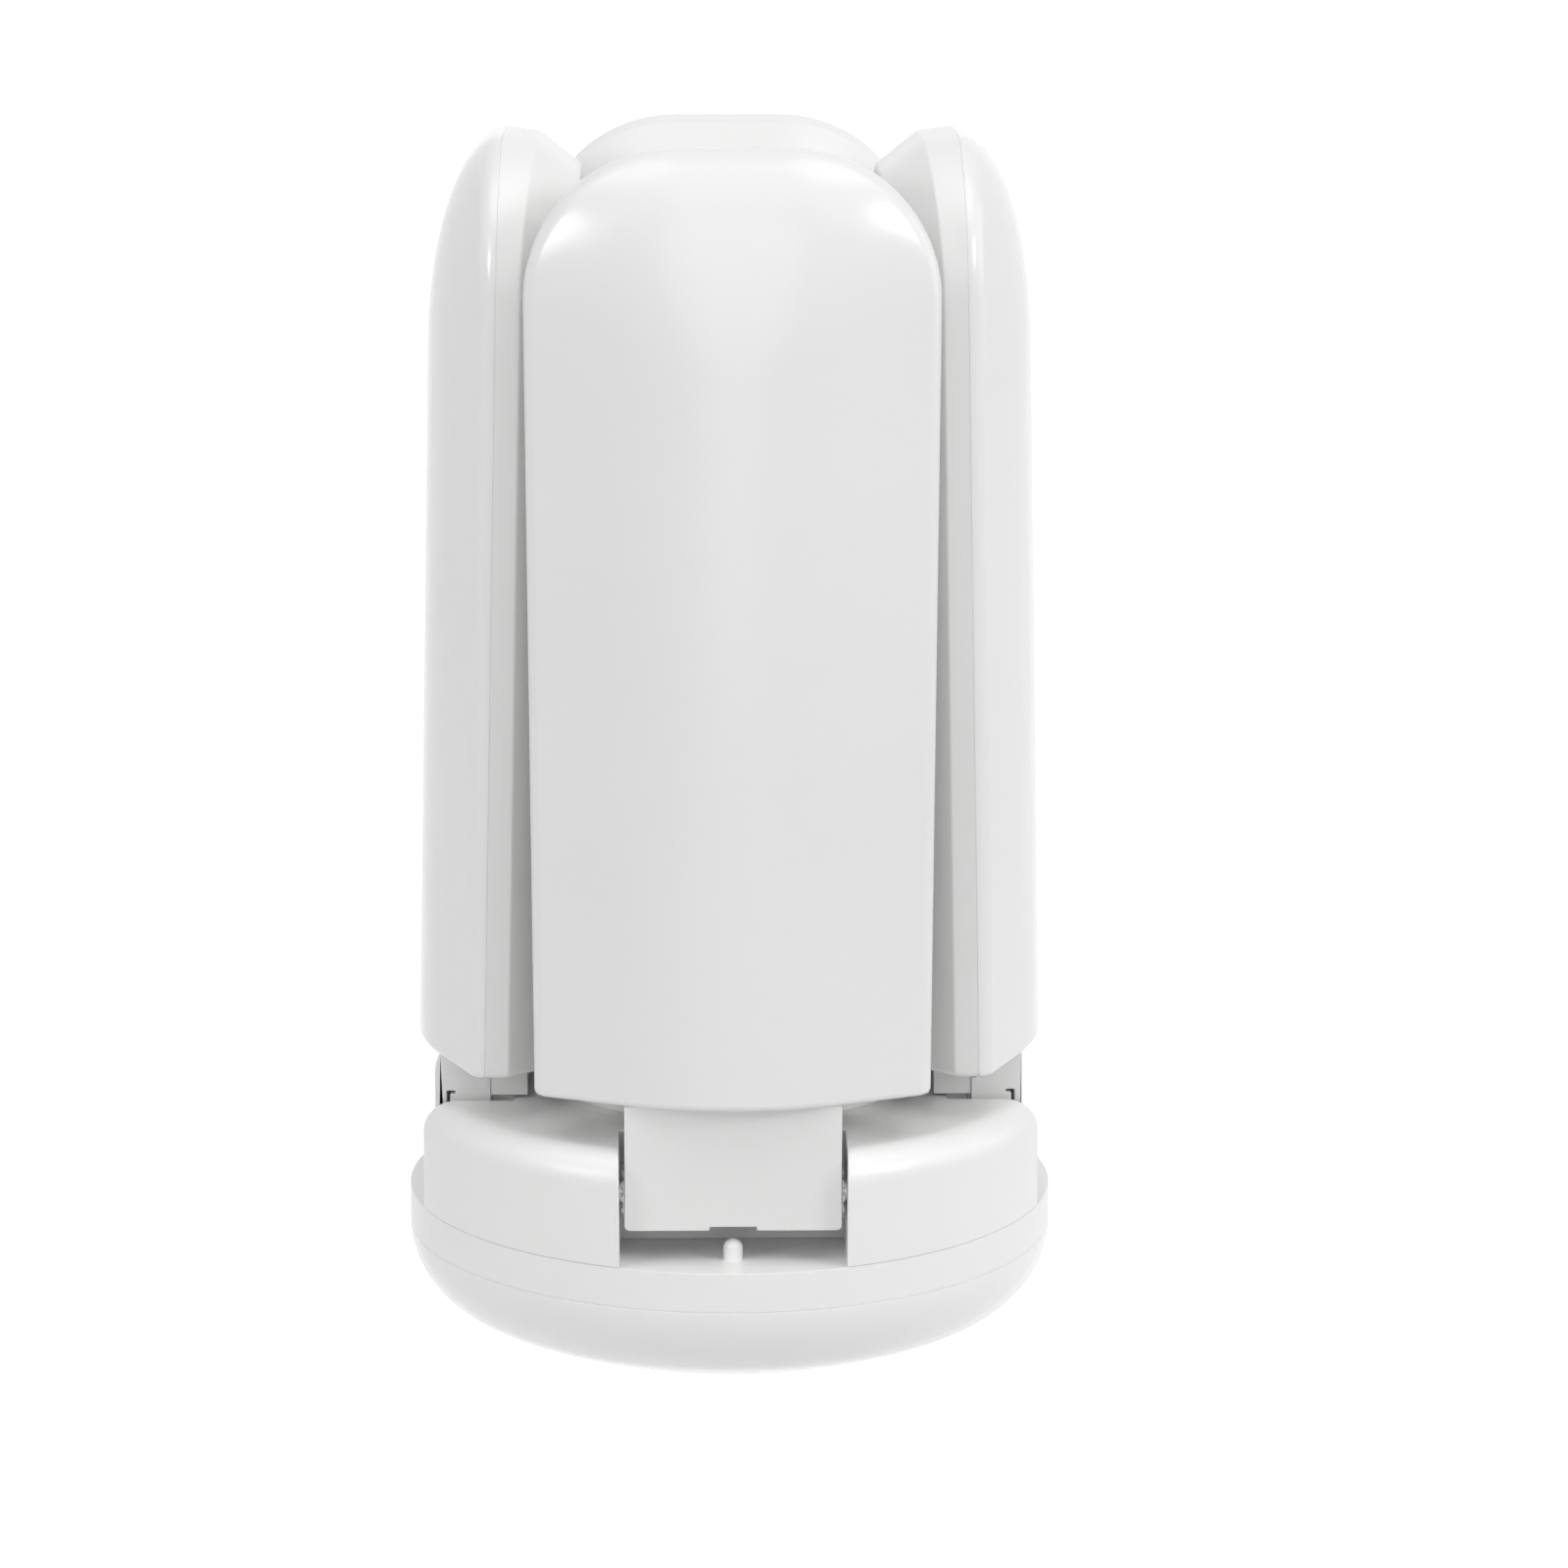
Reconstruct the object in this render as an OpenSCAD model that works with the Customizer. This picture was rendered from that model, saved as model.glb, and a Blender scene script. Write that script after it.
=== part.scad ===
// Folding garage light: a round light with four light leaves that fold up around its screw cap.
// Origin: on the lamp's axis, where the screw cap meets the neck. +Z points to the cap's tip,
// and the front leaf is on the -Y side. Millimetres.

/* [Overall] */
// Height when folded, from the lens's lowest point to the leaf tips
overall_h = 200; // [165:1:260]
// Diameter of the round base
disc_d = 105; // [100:1:130]

/* [Round light] */
// Depth of the domed round lens
lens_depth = 21.9; // [18:0.1:30]
// Radius of the lens's shoulder
lens_shoulder_r = 13.3; // [8:0.1:16]
// Wall of the round lens
lens_wall = 1.6; // [1.2:0.1:2.5]
// Height of the plain ring above the lens
ring_h = 6.3; // [5.5:0.1:9]
// Thickness of the ring's floor plate
floor_t = 2; // [1.6:0.1:3]
// Height of the corner blocks above the ring
block_h = 17.8; // [17:0.1:24]
// Radius of the blocks' top outer edge
block_fillet = 5; // [2:0.5:7]
// Wall of the upper housing
hub_wall = 2; // [1.6:0.1:3]
// Diameter of the pins on the notch floors
nub_d = 3; // [2:0.1:4]
// Height of the pins on the notch floors
nub_h = 3.3; // [2:0.1:3.8]
// Number of light chips in the round light's outer circle
disc_led_n = 24; // [12:1:36]

/* [Leaf] */
// Lean of a folded leaf towards the axis, in degrees
lean = 1.27; // [0:0.01:2]
// Gap between the blocks' top and a leaf's lower end
leaf_lift = 7.1; // [6:0.1:14]
// Gap between neighbouring folded leaves' shell edges and the diagonal
leaf_clear = 0.7; // [0.6:0.05:3]
// How much narrower a leaf is at its lower end, on each side
leaf_flare = 1; // [0:0.1:3]
// Width of the straight part of a leaf's tip
tip_flat = 17.4; // [8:0.1:24]
// Corner radius of a leaf's tip
tip_r = 23; // [18:0.5:25]
// Height of the diffuser's crown above the seam
crown_h = 11.8; // [10:0.1:14]
// Length over which the diffuser falls away to the tip
crown_run = 35; // [25:0.1:40]
// Share of a leaf's half width that the rounded middle of the diffuser takes
crown_share = 0.6; // [0.5:0.01:0.7]
// Wall of the diffuser
diffuser_wall = 1.5; // [1.2:0.1:2]
// Depth of the back shell behind the seam
back_t = 12.3; // [11:0.1:14]
// Depth of the shell's upright edge behind the seam
band_t = 3.7; // [3.6:0.1:6]
// Width of the slope between the shell's edge and its flat back
slope_w = 9; // [6:0.1:12]
// Width of the slope at the leaf's tip
slope_tip = 6; // [4:0.1:9]
// Depth of the shell's upright edge at the leaf's tip
band_tip = 5.4; // [3.6:0.1:7]
// Wall of the back shell
shell_wall = 2; // [1.6:0.1:2.5]
// Rows of light chips on a leaf
led_rows = 9; // [6:1:9]

/* [Arm and hinge] */
// Width of a leaf's arm
arm_w = 33.7; // [30:0.1:40]
// Depth of the arm, front to back
arm_depth = 8.2; // [7.4:0.1:9]
// How far the arm's face lies inside the round base's edge
arm_inset = 5.7; // [5.2:0.1:9]
// Distance of the hinge axis behind the arm's face
axis_in = 4.5; // [4:0.1:5]
// Height of the hinge axis above the notch floor
axis_up = 10.2; // [9.6:0.1:11]
// Distance from the hinge axis to the arm's lower end
arm_drop = 5.1; // [4.9:0.1:5.2]
// Side gap between the arm and its notch, at the notch floor
notch_gap = 0.75; // [0.75:0.05:2]
// How much wider the notch is at its top, on each side
notch_draft = 0.1; // [0:0.05:1]
// Diameter of the hinge tube
axle_d = 4; // [3.6:0.1:4.6]
// Bore of the hinge tube, for the wire
axle_bore = 2.8; // [2.4:0.1:3]
// Outer diameter of the arm's ring of click teeth
click_d = 8.8; // [8:0.1:9]
// Number of click teeth on each side of an arm
click_n = 12; // [8:4:16]
// Height of a click tooth
click_h = 0.45; // [0.3:0.05:0.5]
// Depth of the heel behind the arm, under the leaf's shell
heel_t = 6; // [4:0.1:6.5]

/* [Neck and screw cap] */
// Length of the neck above the blocks
neck_h = 71.5; // [60:0.5:90]
// Wall of the neck
neck_wall = 1.8; // [1.4:0.1:2.4]
// Gap between the neck's foot and the folded leaves
neck_gap = 5; // [4:0.1:8]
// Radius of the cap's plain collar, that a lamp holder's mouth slides over
collar_r = 13.2; // [13.1:0.05:13.4]
// Length of the cap's plain collar
collar_l = 4; // [3:0.5:5]
// Crest radius of the cap's screw thread
thread_r = 13.1; // [13:0.05:13.1]
// Depth of the cap's screw thread
thread_depth = 1.05; // [0.8:0.05:1.1]
// Pitch of the cap's screw thread
thread_pitch = 3.63; // [3.5:0.01:3.7]
// Length of the cap, from its collar to the tip of its centre contact
cap_l = 27; // [26:0.5:29]

/* [Electrics] */
// Thickness of the circuit boards
board_t = 1.6; // [1:0.1:2]
// Width of the driver board
driver_w = 27; // [24:0.5:28]
// Diameter of a sleeved wire
wire_d = 2; // [1.6:0.1:2.2]

/* [Hidden] */

// Clearances
gap = 0.1;       // between pieces that lie against each other
bore_gap = 0.05; // between a shaft or screw and its bore
over = 1;        // how far a cutting solid runs past the surface that it cuts

// Heights above the lens's lowest point
ring_z = lens_depth;
floor_z = ring_z + ring_h;
block_z = floor_z + block_h;
axis_z = floor_z + axis_up;
leaf_z = block_z + leaf_lift;
cap_z = block_z + neck_h;

// Radii from the lamp's axis
disc_r = disc_d / 2;
arm_face_r = disc_r - arm_inset;
arm_back_r = arm_face_r - arm_depth;
axis_r = arm_face_r - axis_in;
seam_r = axis_r - 3.4;
leaf_l = (overall_h - leaf_z) / cos(lean);
tip_seam_r = seam_r - leaf_l * sin(lean);
sweep_r = norm([axis_in, arm_drop]);
notch_back_r = axis_r - sweep_r - 0.7;
stop_r = arm_back_r - 0.3;
stop_z = axis_z + (axis_r - arm_back_r) + 0.4;
nub_r = arm_face_r - 2;

// Leaf outline
shell_draft = 0.6;
leaf_half = tip_seam_r - band_t - leaf_clear + shell_draft;
leaf_half_low = leaf_half - leaf_flare;
spine_l = leaf_l - crown_run;
side_l = leaf_l - tip_r;

// Neck
neck_low_r = seam_r - back_t - neck_gap;
neck_top_r = collar_r + 3.4;
foot_r = neck_low_r + 9;
foot_t = 2;
cap_bore_r = collar_r - 1.4;

white = [0.93, 0.93, 0.92];
milk = [0.97, 0.97, 0.95];
metal = [0.78, 0.78, 0.8];
board_white = [0.9, 0.92, 0.9];
chip_yellow = [0.95, 0.85, 0.35];
steel = [0.6, 0.6, 0.62];

// ---------- general shapes ----------

// Puts heights above the lens's lowest point into the lamp's own frame
module from_lens() { translate([0, 0, -cap_z]) children(); }

// Leaf number k, counted from the front leaf by quarter turns
module at_leaf(k) { from_lens() rotate([0, 0, 90 * k]) children(); }

// A leaf's own frame: x across, y along from its lower end, z outward from the seam
module in_leaf(k) {
    at_leaf(k) translate([0, -seam_r, leaf_z]) rotate([90 - lean, 0, 0]) children();
}

// Four copies a quarter turn apart
module quarter_turns(start = 0) {
    for (k = [0:3]) rotate([0, 0, start + 90 * k]) children();
}

module tube(r_out, r_in, l) {
    difference() {
        cylinder(r = r_out, h = l, $fn = 96);
        translate([0, 0, -over]) cylinder(r = r_in, h = l + 2 * over, $fn = 96);
    }
}

// A screw with its head at the origin and its shank pointing down -Z
module screw(head_r, head_h, shank_r, shank_l) {
    difference() {
        union() {
            cylinder(r = head_r, h = head_h, $fn = 48);
            translate([0, 0, -shank_l]) cylinder(r = shank_r, h = shank_l + head_h / 2, $fn = 48);
        }
        for (a = [0, 90]) rotate([0, 0, a])
            translate([-head_r * 0.6, -0.3, head_h * 0.55]) cube([head_r * 1.2, 0.6, head_h]);
    }
}

function unit(v) = v / norm(v);

function reversed(list) = [for (i = [len(list) - 1:-1:0]) list[i]];

// A smooth curve through p, with n steps between neighbouring points
function smooth(p, n) = [
    for (i = [0:len(p) - 2], j = [0:n - 1])
        let (a = p[max(i - 1, 0)], b = p[i], c = p[i + 1], d = p[min(i + 2, len(p) - 1)], t = j / n)
        0.5 * (2 * b + (c - a) * t + (2 * a - 5 * b + 4 * c - d) * t * t
            + (3 * b - a - 3 * c + d) * t * t * t),
    p[len(p) - 1]
];

// A wire of radius r along the points p
module wire(p, r, sides = 8) {
    n = len(p);
    along = [for (i = [0:n - 1]) unit(p[min(i + 1, n - 1)] - p[max(i - 1, 0)])];
    first = abs(along[0].x) < 0.9 ? [1, 0, 0] : [0, 0, 1];
    side = [
        for (i = 0, s = unit(first - (first * along[0]) * along[0]); i < n;
            i = i + 1, s = i < n ? unit(s - (s * along[i]) * along[i]) : s) s
    ];
    points = [
        for (i = [0:n - 1], k = [0:sides - 1])
            p[i] + r * (cos(360 * k / sides) * side[i]
                + sin(360 * k / sides) * cross(along[i], side[i]))
    ];
    walls = [
        for (i = [0:n - 2], k = [0:sides - 1])
            let (a = i * sides + k, b = i * sides + (k + 1) % sides)
            each [[a, a + sides, b], [b, a + sides, b + sides]]
    ];
    polyhedron(points, concat(
        walls,
        [[for (k = [0:sides - 1]) k]],
        [[for (k = [sides - 1:-1:0]) (n - 1) * sides + k]]
    ));
}

// ---------- leaf outline and dome ----------

// Half of a leaf's outline, from the lower end up the left side to the tip
arc_steps = 12;
half_outline = concat(
    [for (i = [0:4]) let (y = side_l * i / 5)
        [-leaf_half_low - leaf_flare * i / 5, y]],
    [for (i = [0:arc_steps]) let (a = 90 * i / arc_steps)
        [-leaf_half + tip_r - tip_r * cos(a) + (leaf_half - tip_flat / 2 - tip_r) * sin(a),
         side_l + tip_r * sin(a)]]
);
outline = concat(half_outline, [
    for (i = [len(half_outline) - 1:-1:0]) [-half_outline[i].x, half_outline[i].y]
]);

// The point on the spine that an outline point's section runs to
function spine_point(p, low) = [0, max(low, min(p.y, spine_l))];

// The outline drawn in by d, never below low
function drawn_in(p, d, low = 0) =
    let (s = spine_point(p, low), q = [p.x, max(low, p.y)])
    s + (q - s) * (1 - d / norm(q - s));

// Height of the diffuser's outside above the seam, at the share u of the way from the spine to the
// rim: round in the middle, then a straight flank down to a rounded rim
flank = 1.207; // fall of the flank, in crown heights per half width
rim_share = 0.95;
function flank_height(u) = u < crown_share
    ? 1 - flank * u * u / (2 * crown_share)
    : 1 - flank * crown_share / 2 - flank * (u - crown_share);
function dome(u) = crown_h * flank_height(u)
    * (u < rim_share ? 1 : sqrt(1 - pow((u - rim_share) / (1 - rim_share), 2)));

// The same at the tip, where it is round all the way
function tip_dome(u) = crown_h * sqrt(1 - u * u);

// How far an outline point lies on the way from the straight sides to the tip
function tipwards(p) = pow(max(0, (p.y - side_l) / tip_r), 2);

// A skin over the leaf's outline. outer and inner are sections, from rim to spine: each entry
// is [inset, share of the way, height, inset at the tip, height at the tip], where the two for
// the tip can be left out. The last entry is on the spine.
module leaf_skin(outer, inner, low) {
    n = len(outline);
    half = len(half_outline);
    spine_n = len([for (p = half_outline) if (p.y <= spine_l) p]);
    function spot(p, e, l) =
        let (t = len(e) > 3 ? tipwards(p) : 0, s = spine_point(p, l))
        let (q = drawn_in(p, t > 0 ? e[0] + t * (e[3] - e[0]) : e[0], l), r = s + (q - s) * e[1])
        [r.x, r.y, t > 0 ? e[2] + t * (e[4] - e[2]) : e[2]];
    function spine_of(k) = min(k < half ? k : n - 1 - k, spine_n);
    spine_y = [for (k = [0:spine_n]) k < spine_n ? half_outline[k].y : spine_l];
    a = len(outer) - 1;
    b = len(inner) - 1;
    points = concat(
        [for (p = outline, j = [0:a - 1]) spot(p, outer[j], 0)],
        [for (y = spine_y) [0, y, outer[a][2]]],
        [for (p = outline, j = [0:b - 1]) spot(p, inner[j], low)],
        [for (y = spine_y) [0, max(low, y), inner[b][2]]]
    );
    inner_0 = n * a + spine_n + 1;
    function out_at(k, j) = j < a ? k * a + j : n * a + spine_of(k);
    function in_at(k, j) = inner_0 + (j < b ? k * b + j : n * b + spine_of(k));
    function tidy(faces) = [
        for (f = faces) if (f[0] != f[1] && f[1] != f[2] && f[2] != f[0]) f
    ];
    outside = tidy([for (k = [0:n - 2], j = [0:a - 1]) each [
        [out_at(k, j), out_at(k, j + 1), out_at(k + 1, j)],
        [out_at(k + 1, j), out_at(k, j + 1), out_at(k + 1, j + 1)]
    ]]);
    inside = tidy([for (k = [0:n - 2], j = [0:b - 1]) each [
        [in_at(k, j), in_at(k + 1, j), in_at(k, j + 1)],
        [in_at(k + 1, j), in_at(k + 1, j + 1), in_at(k, j + 1)]
    ]]);
    rim = [for (k = [0:n - 2]) each [
        [out_at(k, 0), out_at(k + 1, 0), in_at(k, 0)],
        [out_at(k + 1, 0), in_at(k + 1, 0), in_at(k, 0)]
    ]];
    out_end = concat([for (j = [0:a]) out_at(0, j)], [for (j = [a - 1:-1:0]) out_at(n - 1, j)]);
    in_end = concat([for (j = [0:b]) in_at(0, j)], [for (j = [b - 1:-1:0]) in_at(n - 1, j)]);
    ends = low > 0
        ? [
            [for (i = [len(out_end) - 1:-1:0]) out_end[i]],
            in_end,
            [out_at(n - 1, 0), out_at(0, 0), in_at(0, 0), in_at(n - 1, 0)]
        ]
        : [
            concat([for (j = [a:-1:0]) out_at(0, j)], [for (j = [0:b]) in_at(0, j)]),
            concat([for (j = [b:-1:0]) in_at(n - 1, j)], [for (j = [0:a]) out_at(n - 1, j)])
        ];
    polyhedron(points, concat(outside, inside, rim, ends));
}

// ---------- hub ----------

// Lens section from the seam to the lowest point: the shoulder's arc, then the wide dome's arc
function lens_curve(r, depth, shoulder, n) =
    let (dome_r = (pow(r - shoulder, 2) + depth * depth - shoulder * shoulder) / (2 * (depth - shoulder)))
    let (split = atan2(r - shoulder, dome_r - depth))
    concat(
        [for (i = [0:n]) let (a = (90 - split) * i / n)
            [r - shoulder + shoulder * cos(a), ring_z - shoulder * sin(a)]],
        [for (i = [n - 1:-1:0]) let (a = split * i / n)
            [dome_r * sin(a), ring_z - depth + dome_r * (1 - cos(a))]]
    );
lens_lip_r = disc_r - hub_wall - gap - 0.4;
lens_lip_w = 1.4;
lens_lip_h = 3.4;

module central_lens() {
    inside_r = lens_lip_r - lens_lip_w;
    color(milk) from_lens() rotate_extrude($fn = 128) polygon(concat(
        [[lens_lip_r, ring_z + lens_lip_h], [lens_lip_r, ring_z]],
        lens_curve(disc_r, lens_depth, lens_shoulder_r, 12),
        reversed(lens_curve(inside_r, lens_depth - lens_wall, lens_shoulder_r - lens_wall, 10)),
        [[inside_r, ring_z + lens_lip_h]]
    ));
}

// Screws at the corners
post_r = 3.2;
post_at = disc_r - 9.5;
base_screw_r = 1.3;
base_head_r = 2.7;
board_screw_at = disc_r - 16.5;
board_screw_r = 1.1;
floor_hole_r = 24;

module base_ring() {
    color(white) from_lens() {
        difference() {
            union() {
                translate([0, 0, ring_z]) cylinder(r = disc_r, h = ring_h, $fn = 128);
                quarter_turns() translate([0, -nub_r, floor_z - over]) {
                    cylinder(d = nub_d, h = nub_h + over - nub_d / 2, $fn = 48);
                    translate([0, 0, nub_h + over - nub_d / 2]) sphere(d = nub_d, $fn = 48);
                }
            }
            translate([0, 0, ring_z - over])
                cylinder(r = disc_r - hub_wall - 0.4, h = ring_h - floor_t + over, $fn = 128);
            translate([0, 0, ring_z]) cylinder(r = floor_hole_r, h = ring_h + over, $fn = 96);
            quarter_turns(45) {
                translate([post_at, 0, ring_z])
                    cylinder(r = base_screw_r + bore_gap, h = ring_h + over, $fn = 48);
                translate([board_screw_at, 0, ring_z])
                    cylinder(r = board_screw_r + bore_gap, h = ring_h + over, $fn = 48);
            }
        }
    }
}

// The four notches, each grown by g on every side
module notches(g, top) {
    low = arm_w / 2 + notch_gap + g;
    quarter_turns() translate([0, -notch_back_r + g, 0]) rotate([90, 0, 0])
        linear_extrude(disc_r) polygon([
            [-low, floor_z - over], [low, floor_z - over],
            [low + notch_draft, top], [-low - notch_draft, top]
        ]);
}

// The sill behind each arm, that stops it when it is folded and when it is level
module stop_sills() {
    w = arm_w - 4;
    quarter_turns() translate([-w / 2, -stop_r, stop_z])
        cube([w, stop_r - notch_back_r + hub_wall, block_z - stop_z]);
}

boss_r = 3.6;
boss_l = 2.2;
bearing_x = arm_w / 2 + notch_gap + hub_wall;

module upper_housing() {
    r_in = disc_r - hub_wall;
    ceiling = block_z - hub_wall;
    color(white) from_lens() difference() {
        union() {
            difference() {
                rotate_extrude($fn = 128) {
                    translate([0, floor_z]) square([disc_r - block_fillet, block_h]);
                    translate([0, floor_z]) square([disc_r, block_h - block_fillet]);
                    translate([disc_r - block_fillet, block_z - block_fillet])
                        intersection() {
                            circle(block_fillet, $fn = 64);
                            square(block_fillet);
                        }
                }
                notches(0, block_z + over);
                difference() {
                    rotate_extrude($fn = 128) {
                        inner_fillet = max(0.5, block_fillet - hub_wall);
                        translate([0, floor_z - over]) square([r_in - inner_fillet, ceiling - floor_z + over]);
                        translate([0, floor_z - over])
                            square([r_in, ceiling - floor_z + over - inner_fillet]);
                        translate([r_in - inner_fillet, ceiling - inner_fillet])
                            intersection() {
                                circle(inner_fillet, $fn = 64);
                                square(inner_fillet);
                            }
                    }
                    notches(hub_wall, block_z + over);
                }
            }
            stop_sills();
            quarter_turns(45) translate([post_at, 0, floor_z])
                cylinder(r = post_r, h = ceiling - floor_z + 0.5, $fn = 48);
            quarter_turns(45) translate([foot_screw_at, 0, ceiling - 3])
                cylinder(r = 3, h = 3.5, $fn = 48);
            quarter_turns() for (s = [-1, 1])
                translate([s * (bearing_x - 0.5), -axis_r, axis_z]) rotate([0, 90 * s, 0])
                    cylinder(r = boss_r, h = boss_l + 0.5, $fn = 48);
        }
        translate([0, 0, ceiling - over]) cylinder(r = neck_mouth_r, h = hub_wall + 2 * over, $fn = 96);
        quarter_turns(45) translate([post_at, 0, floor_z - over])
            cylinder(r = base_screw_r + bore_gap, h = 10, $fn = 48);
        quarter_turns(45) translate([foot_screw_at, 0, ceiling - 3 - over])
            cylinder(r = foot_screw_r + bore_gap, h = 3 + hub_wall + 2 * over, $fn = 48);
        quarter_turns() translate([-disc_r / 2, -axis_r, axis_z]) rotate([0, 90, 0])
            cylinder(d = axle_d + 2 * bore_gap, h = disc_r, $fn = 64);
    }
}

sink_t = 2;
sink_r = lens_lip_r - lens_lip_w - 0.3;
sink_z = floor_z - floor_t - gap - sink_t;
led_board_r = sink_r - 1;
led_board_z = sink_z - gap - board_t;

// Holes for both sets of screws in a plate
module plate_holes(z, t, head_r) {
    quarter_turns(45) {
        translate([post_at, 0, z - over]) cylinder(r = base_head_r + 0.3, h = t + 2 * over, $fn = 48);
        translate([board_screw_at, 0, z - over]) cylinder(r = head_r, h = t + 2 * over, $fn = 48);
    }
    translate([0, 0, z - over]) cylinder(r = 3, h = t + 2 * over, $fn = 48);
}

module heat_sink() {
    fin_h = 7.5;
    color(metal) from_lens() difference() {
        union() {
            translate([0, 0, sink_z]) cylinder(r = sink_r, h = sink_t, $fn = 128);
            for (a = [0:20:340]) rotate([0, 0, a])
                translate([8, -0.6, sink_z]) cube([floor_hole_r - 10, 1.2, sink_t + fin_h]);
        }
        plate_holes(sink_z, sink_t, board_screw_r + bore_gap);
    }
}

module central_led_board() {
    color(board_white) from_lens() difference() {
        translate([0, 0, led_board_z]) cylinder(r = led_board_r, h = board_t, $fn = 128);
        plate_holes(led_board_z, board_t, board_screw_r + bore_gap);
    }
}

led_w = 2.8;
led_l = 3.5;
led_t = 0.8;

module central_leds() {
    color(chip_yellow) from_lens() for (ring = [[led_board_r - 10, disc_led_n], [led_board_r - 22, disc_led_n / 2]])
        for (i = [0:ring[1] - 1]) rotate([0, 0, 360 * (i + 0.5) / ring[1]])
            translate([ring[0] - led_l / 2, -led_w / 2, led_board_z - led_t]) cube([led_l, led_w, led_t]);
}

module housing_screws() {
    color(steel) from_lens() quarter_turns(45) translate([post_at, 0, floor_z - floor_t])
        rotate([180, 0, 0]) screw(base_head_r, 1.6, base_screw_r, floor_t + 8);
}

module board_screws() {
    color(steel) from_lens() quarter_turns(45) translate([board_screw_at, 0, led_board_z])
        rotate([180, 0, 0]) screw(2.2, 1.2, board_screw_r, floor_z - led_board_z - 0.4);
}

// ---------- neck, driver and cap ----------

foot_screw_at = neck_low_r + 5.6;
foot_screw_r = 1.1;
neck_mouth_r = neck_low_r - neck_wall - 2;
shoulder_h = 4;

module neck_solid(shrink, z_low) {
    rotate_extrude($fn = 96) polygon([
        [0, z_low], [neck_low_r - shrink, z_low],
        [neck_top_r - shrink, cap_z - shoulder_h - shrink * 0.4],
        [collar_r + 0.8 - shrink, cap_z - shrink], [0, cap_z - shrink]
    ]);
}

module neck() {
    spigot_r = cap_bore_r - gap;
    spigot_l = 12;
    color(white) from_lens() difference() {
        union() {
            neck_solid(0, block_z);
            translate([0, 0, block_z]) cylinder(r = foot_r, h = foot_t, $fn = 96);
            translate([0, 0, cap_z - 1]) cylinder(r = spigot_r, h = spigot_l + 1, $fn = 96);
        }
        difference() {
            union() {
                neck_solid(neck_wall, block_z - over);
                translate([0, 0, cap_z - neck_wall - over])
                    cylinder(r = spigot_r - neck_wall, h = spigot_l + neck_wall + 2 * over, $fn = 96);
            }
            for (s = [-1, 1], y = [-1, 1]) translate([s > 0 ? driver_w / 2 - 2 : -driver_w / 2 - 8,
                y > 0 ? board_t / 2 + gap : -board_t / 2 - gap - 1.4, block_z])
                cube([10, 1.4, neck_h - shoulder_h - 6]);
        }
        quarter_turns(45) translate([foot_screw_at, 0, block_z - over])
            cylinder(r = foot_screw_r + bore_gap, h = foot_t + 2 * over, $fn = 48);
    }
}

module neck_screws() {
    color(steel) from_lens() quarter_turns(45) translate([foot_screw_at, 0, block_z + foot_t])
        screw(2.1, 1.3, foot_screw_r, foot_t + 4);
}

driver_z = block_z - 4;
driver_top_z = cap_z - shoulder_h - 6;

module driver_board() {
    color([0.12, 0.42, 0.25]) from_lens()
        translate([-driver_w / 2, -board_t / 2, driver_z])
            cube([driver_w, board_t, driver_top_z - driver_z]);
}

// Puts a component on the board's front (side -1) or back (side 1), at height z
module on_driver(side, x, z) {
    from_lens() translate([x, side * board_t / 2, z]) rotate([90, 0, side > 0 ? 180 : 0]) children();
}

module transformer() {
    core = [17, 15, 4];
    on_driver(-1, 0, block_z + 22) {
        color([0.2, 0.2, 0.22]) translate([-core.x / 2, -core.y / 2, 0]) cube([core.x, core.y, core.z]);
        color([0.95, 0.8, 0.2]) translate([0, 0, core.z]) cylinder(r = 6, h = 5, $fn = 64);
        color([0.2, 0.2, 0.22]) translate([-core.x / 2, -core.y / 2, core.z + 5])
            cube([core.x, core.y, 3]);
    }
}

module capacitors() {
    color([0.1, 0.15, 0.35]) {
        on_driver(-1, 0, block_z + 40) translate([0, 9, 5]) rotate([90, 0, 0])
            cylinder(r = 5, h = 16, $fn = 64);
        on_driver(1, -4, block_z + 12) translate([0, 8, 4]) rotate([90, 0, 0])
            cylinder(r = 4, h = 12, $fn = 64);
    }
}

module driver_chips() {
    color([0.15, 0.15, 0.16]) {
        on_driver(1, 0, block_z + 34) translate([-4, -3, 0]) cube([8, 6, 2.4]);
        on_driver(1, 4, block_z + 46) translate([-2, -2.5, 0]) cube([5, 4, 1.6]);
        on_driver(1, -5, block_z + 50) translate([-3, -3, 0]) cube([6, 6, 3]);
    }
}

// Outer radius of the threaded shell at height z and angle a
thread_low = collar_l - 0.5;
thread_top = cap_l - 7.5;
function thread_wave(z, a) =
    let (fade = min(1, (z - thread_low) / 2, (thread_top - z) / 1.5))
    thread_r - thread_depth / 2 - 0.1 * (1 - fade)
        + thread_depth / 2 * max(0, fade) * cos(360 * z / thread_pitch - a);

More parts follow.
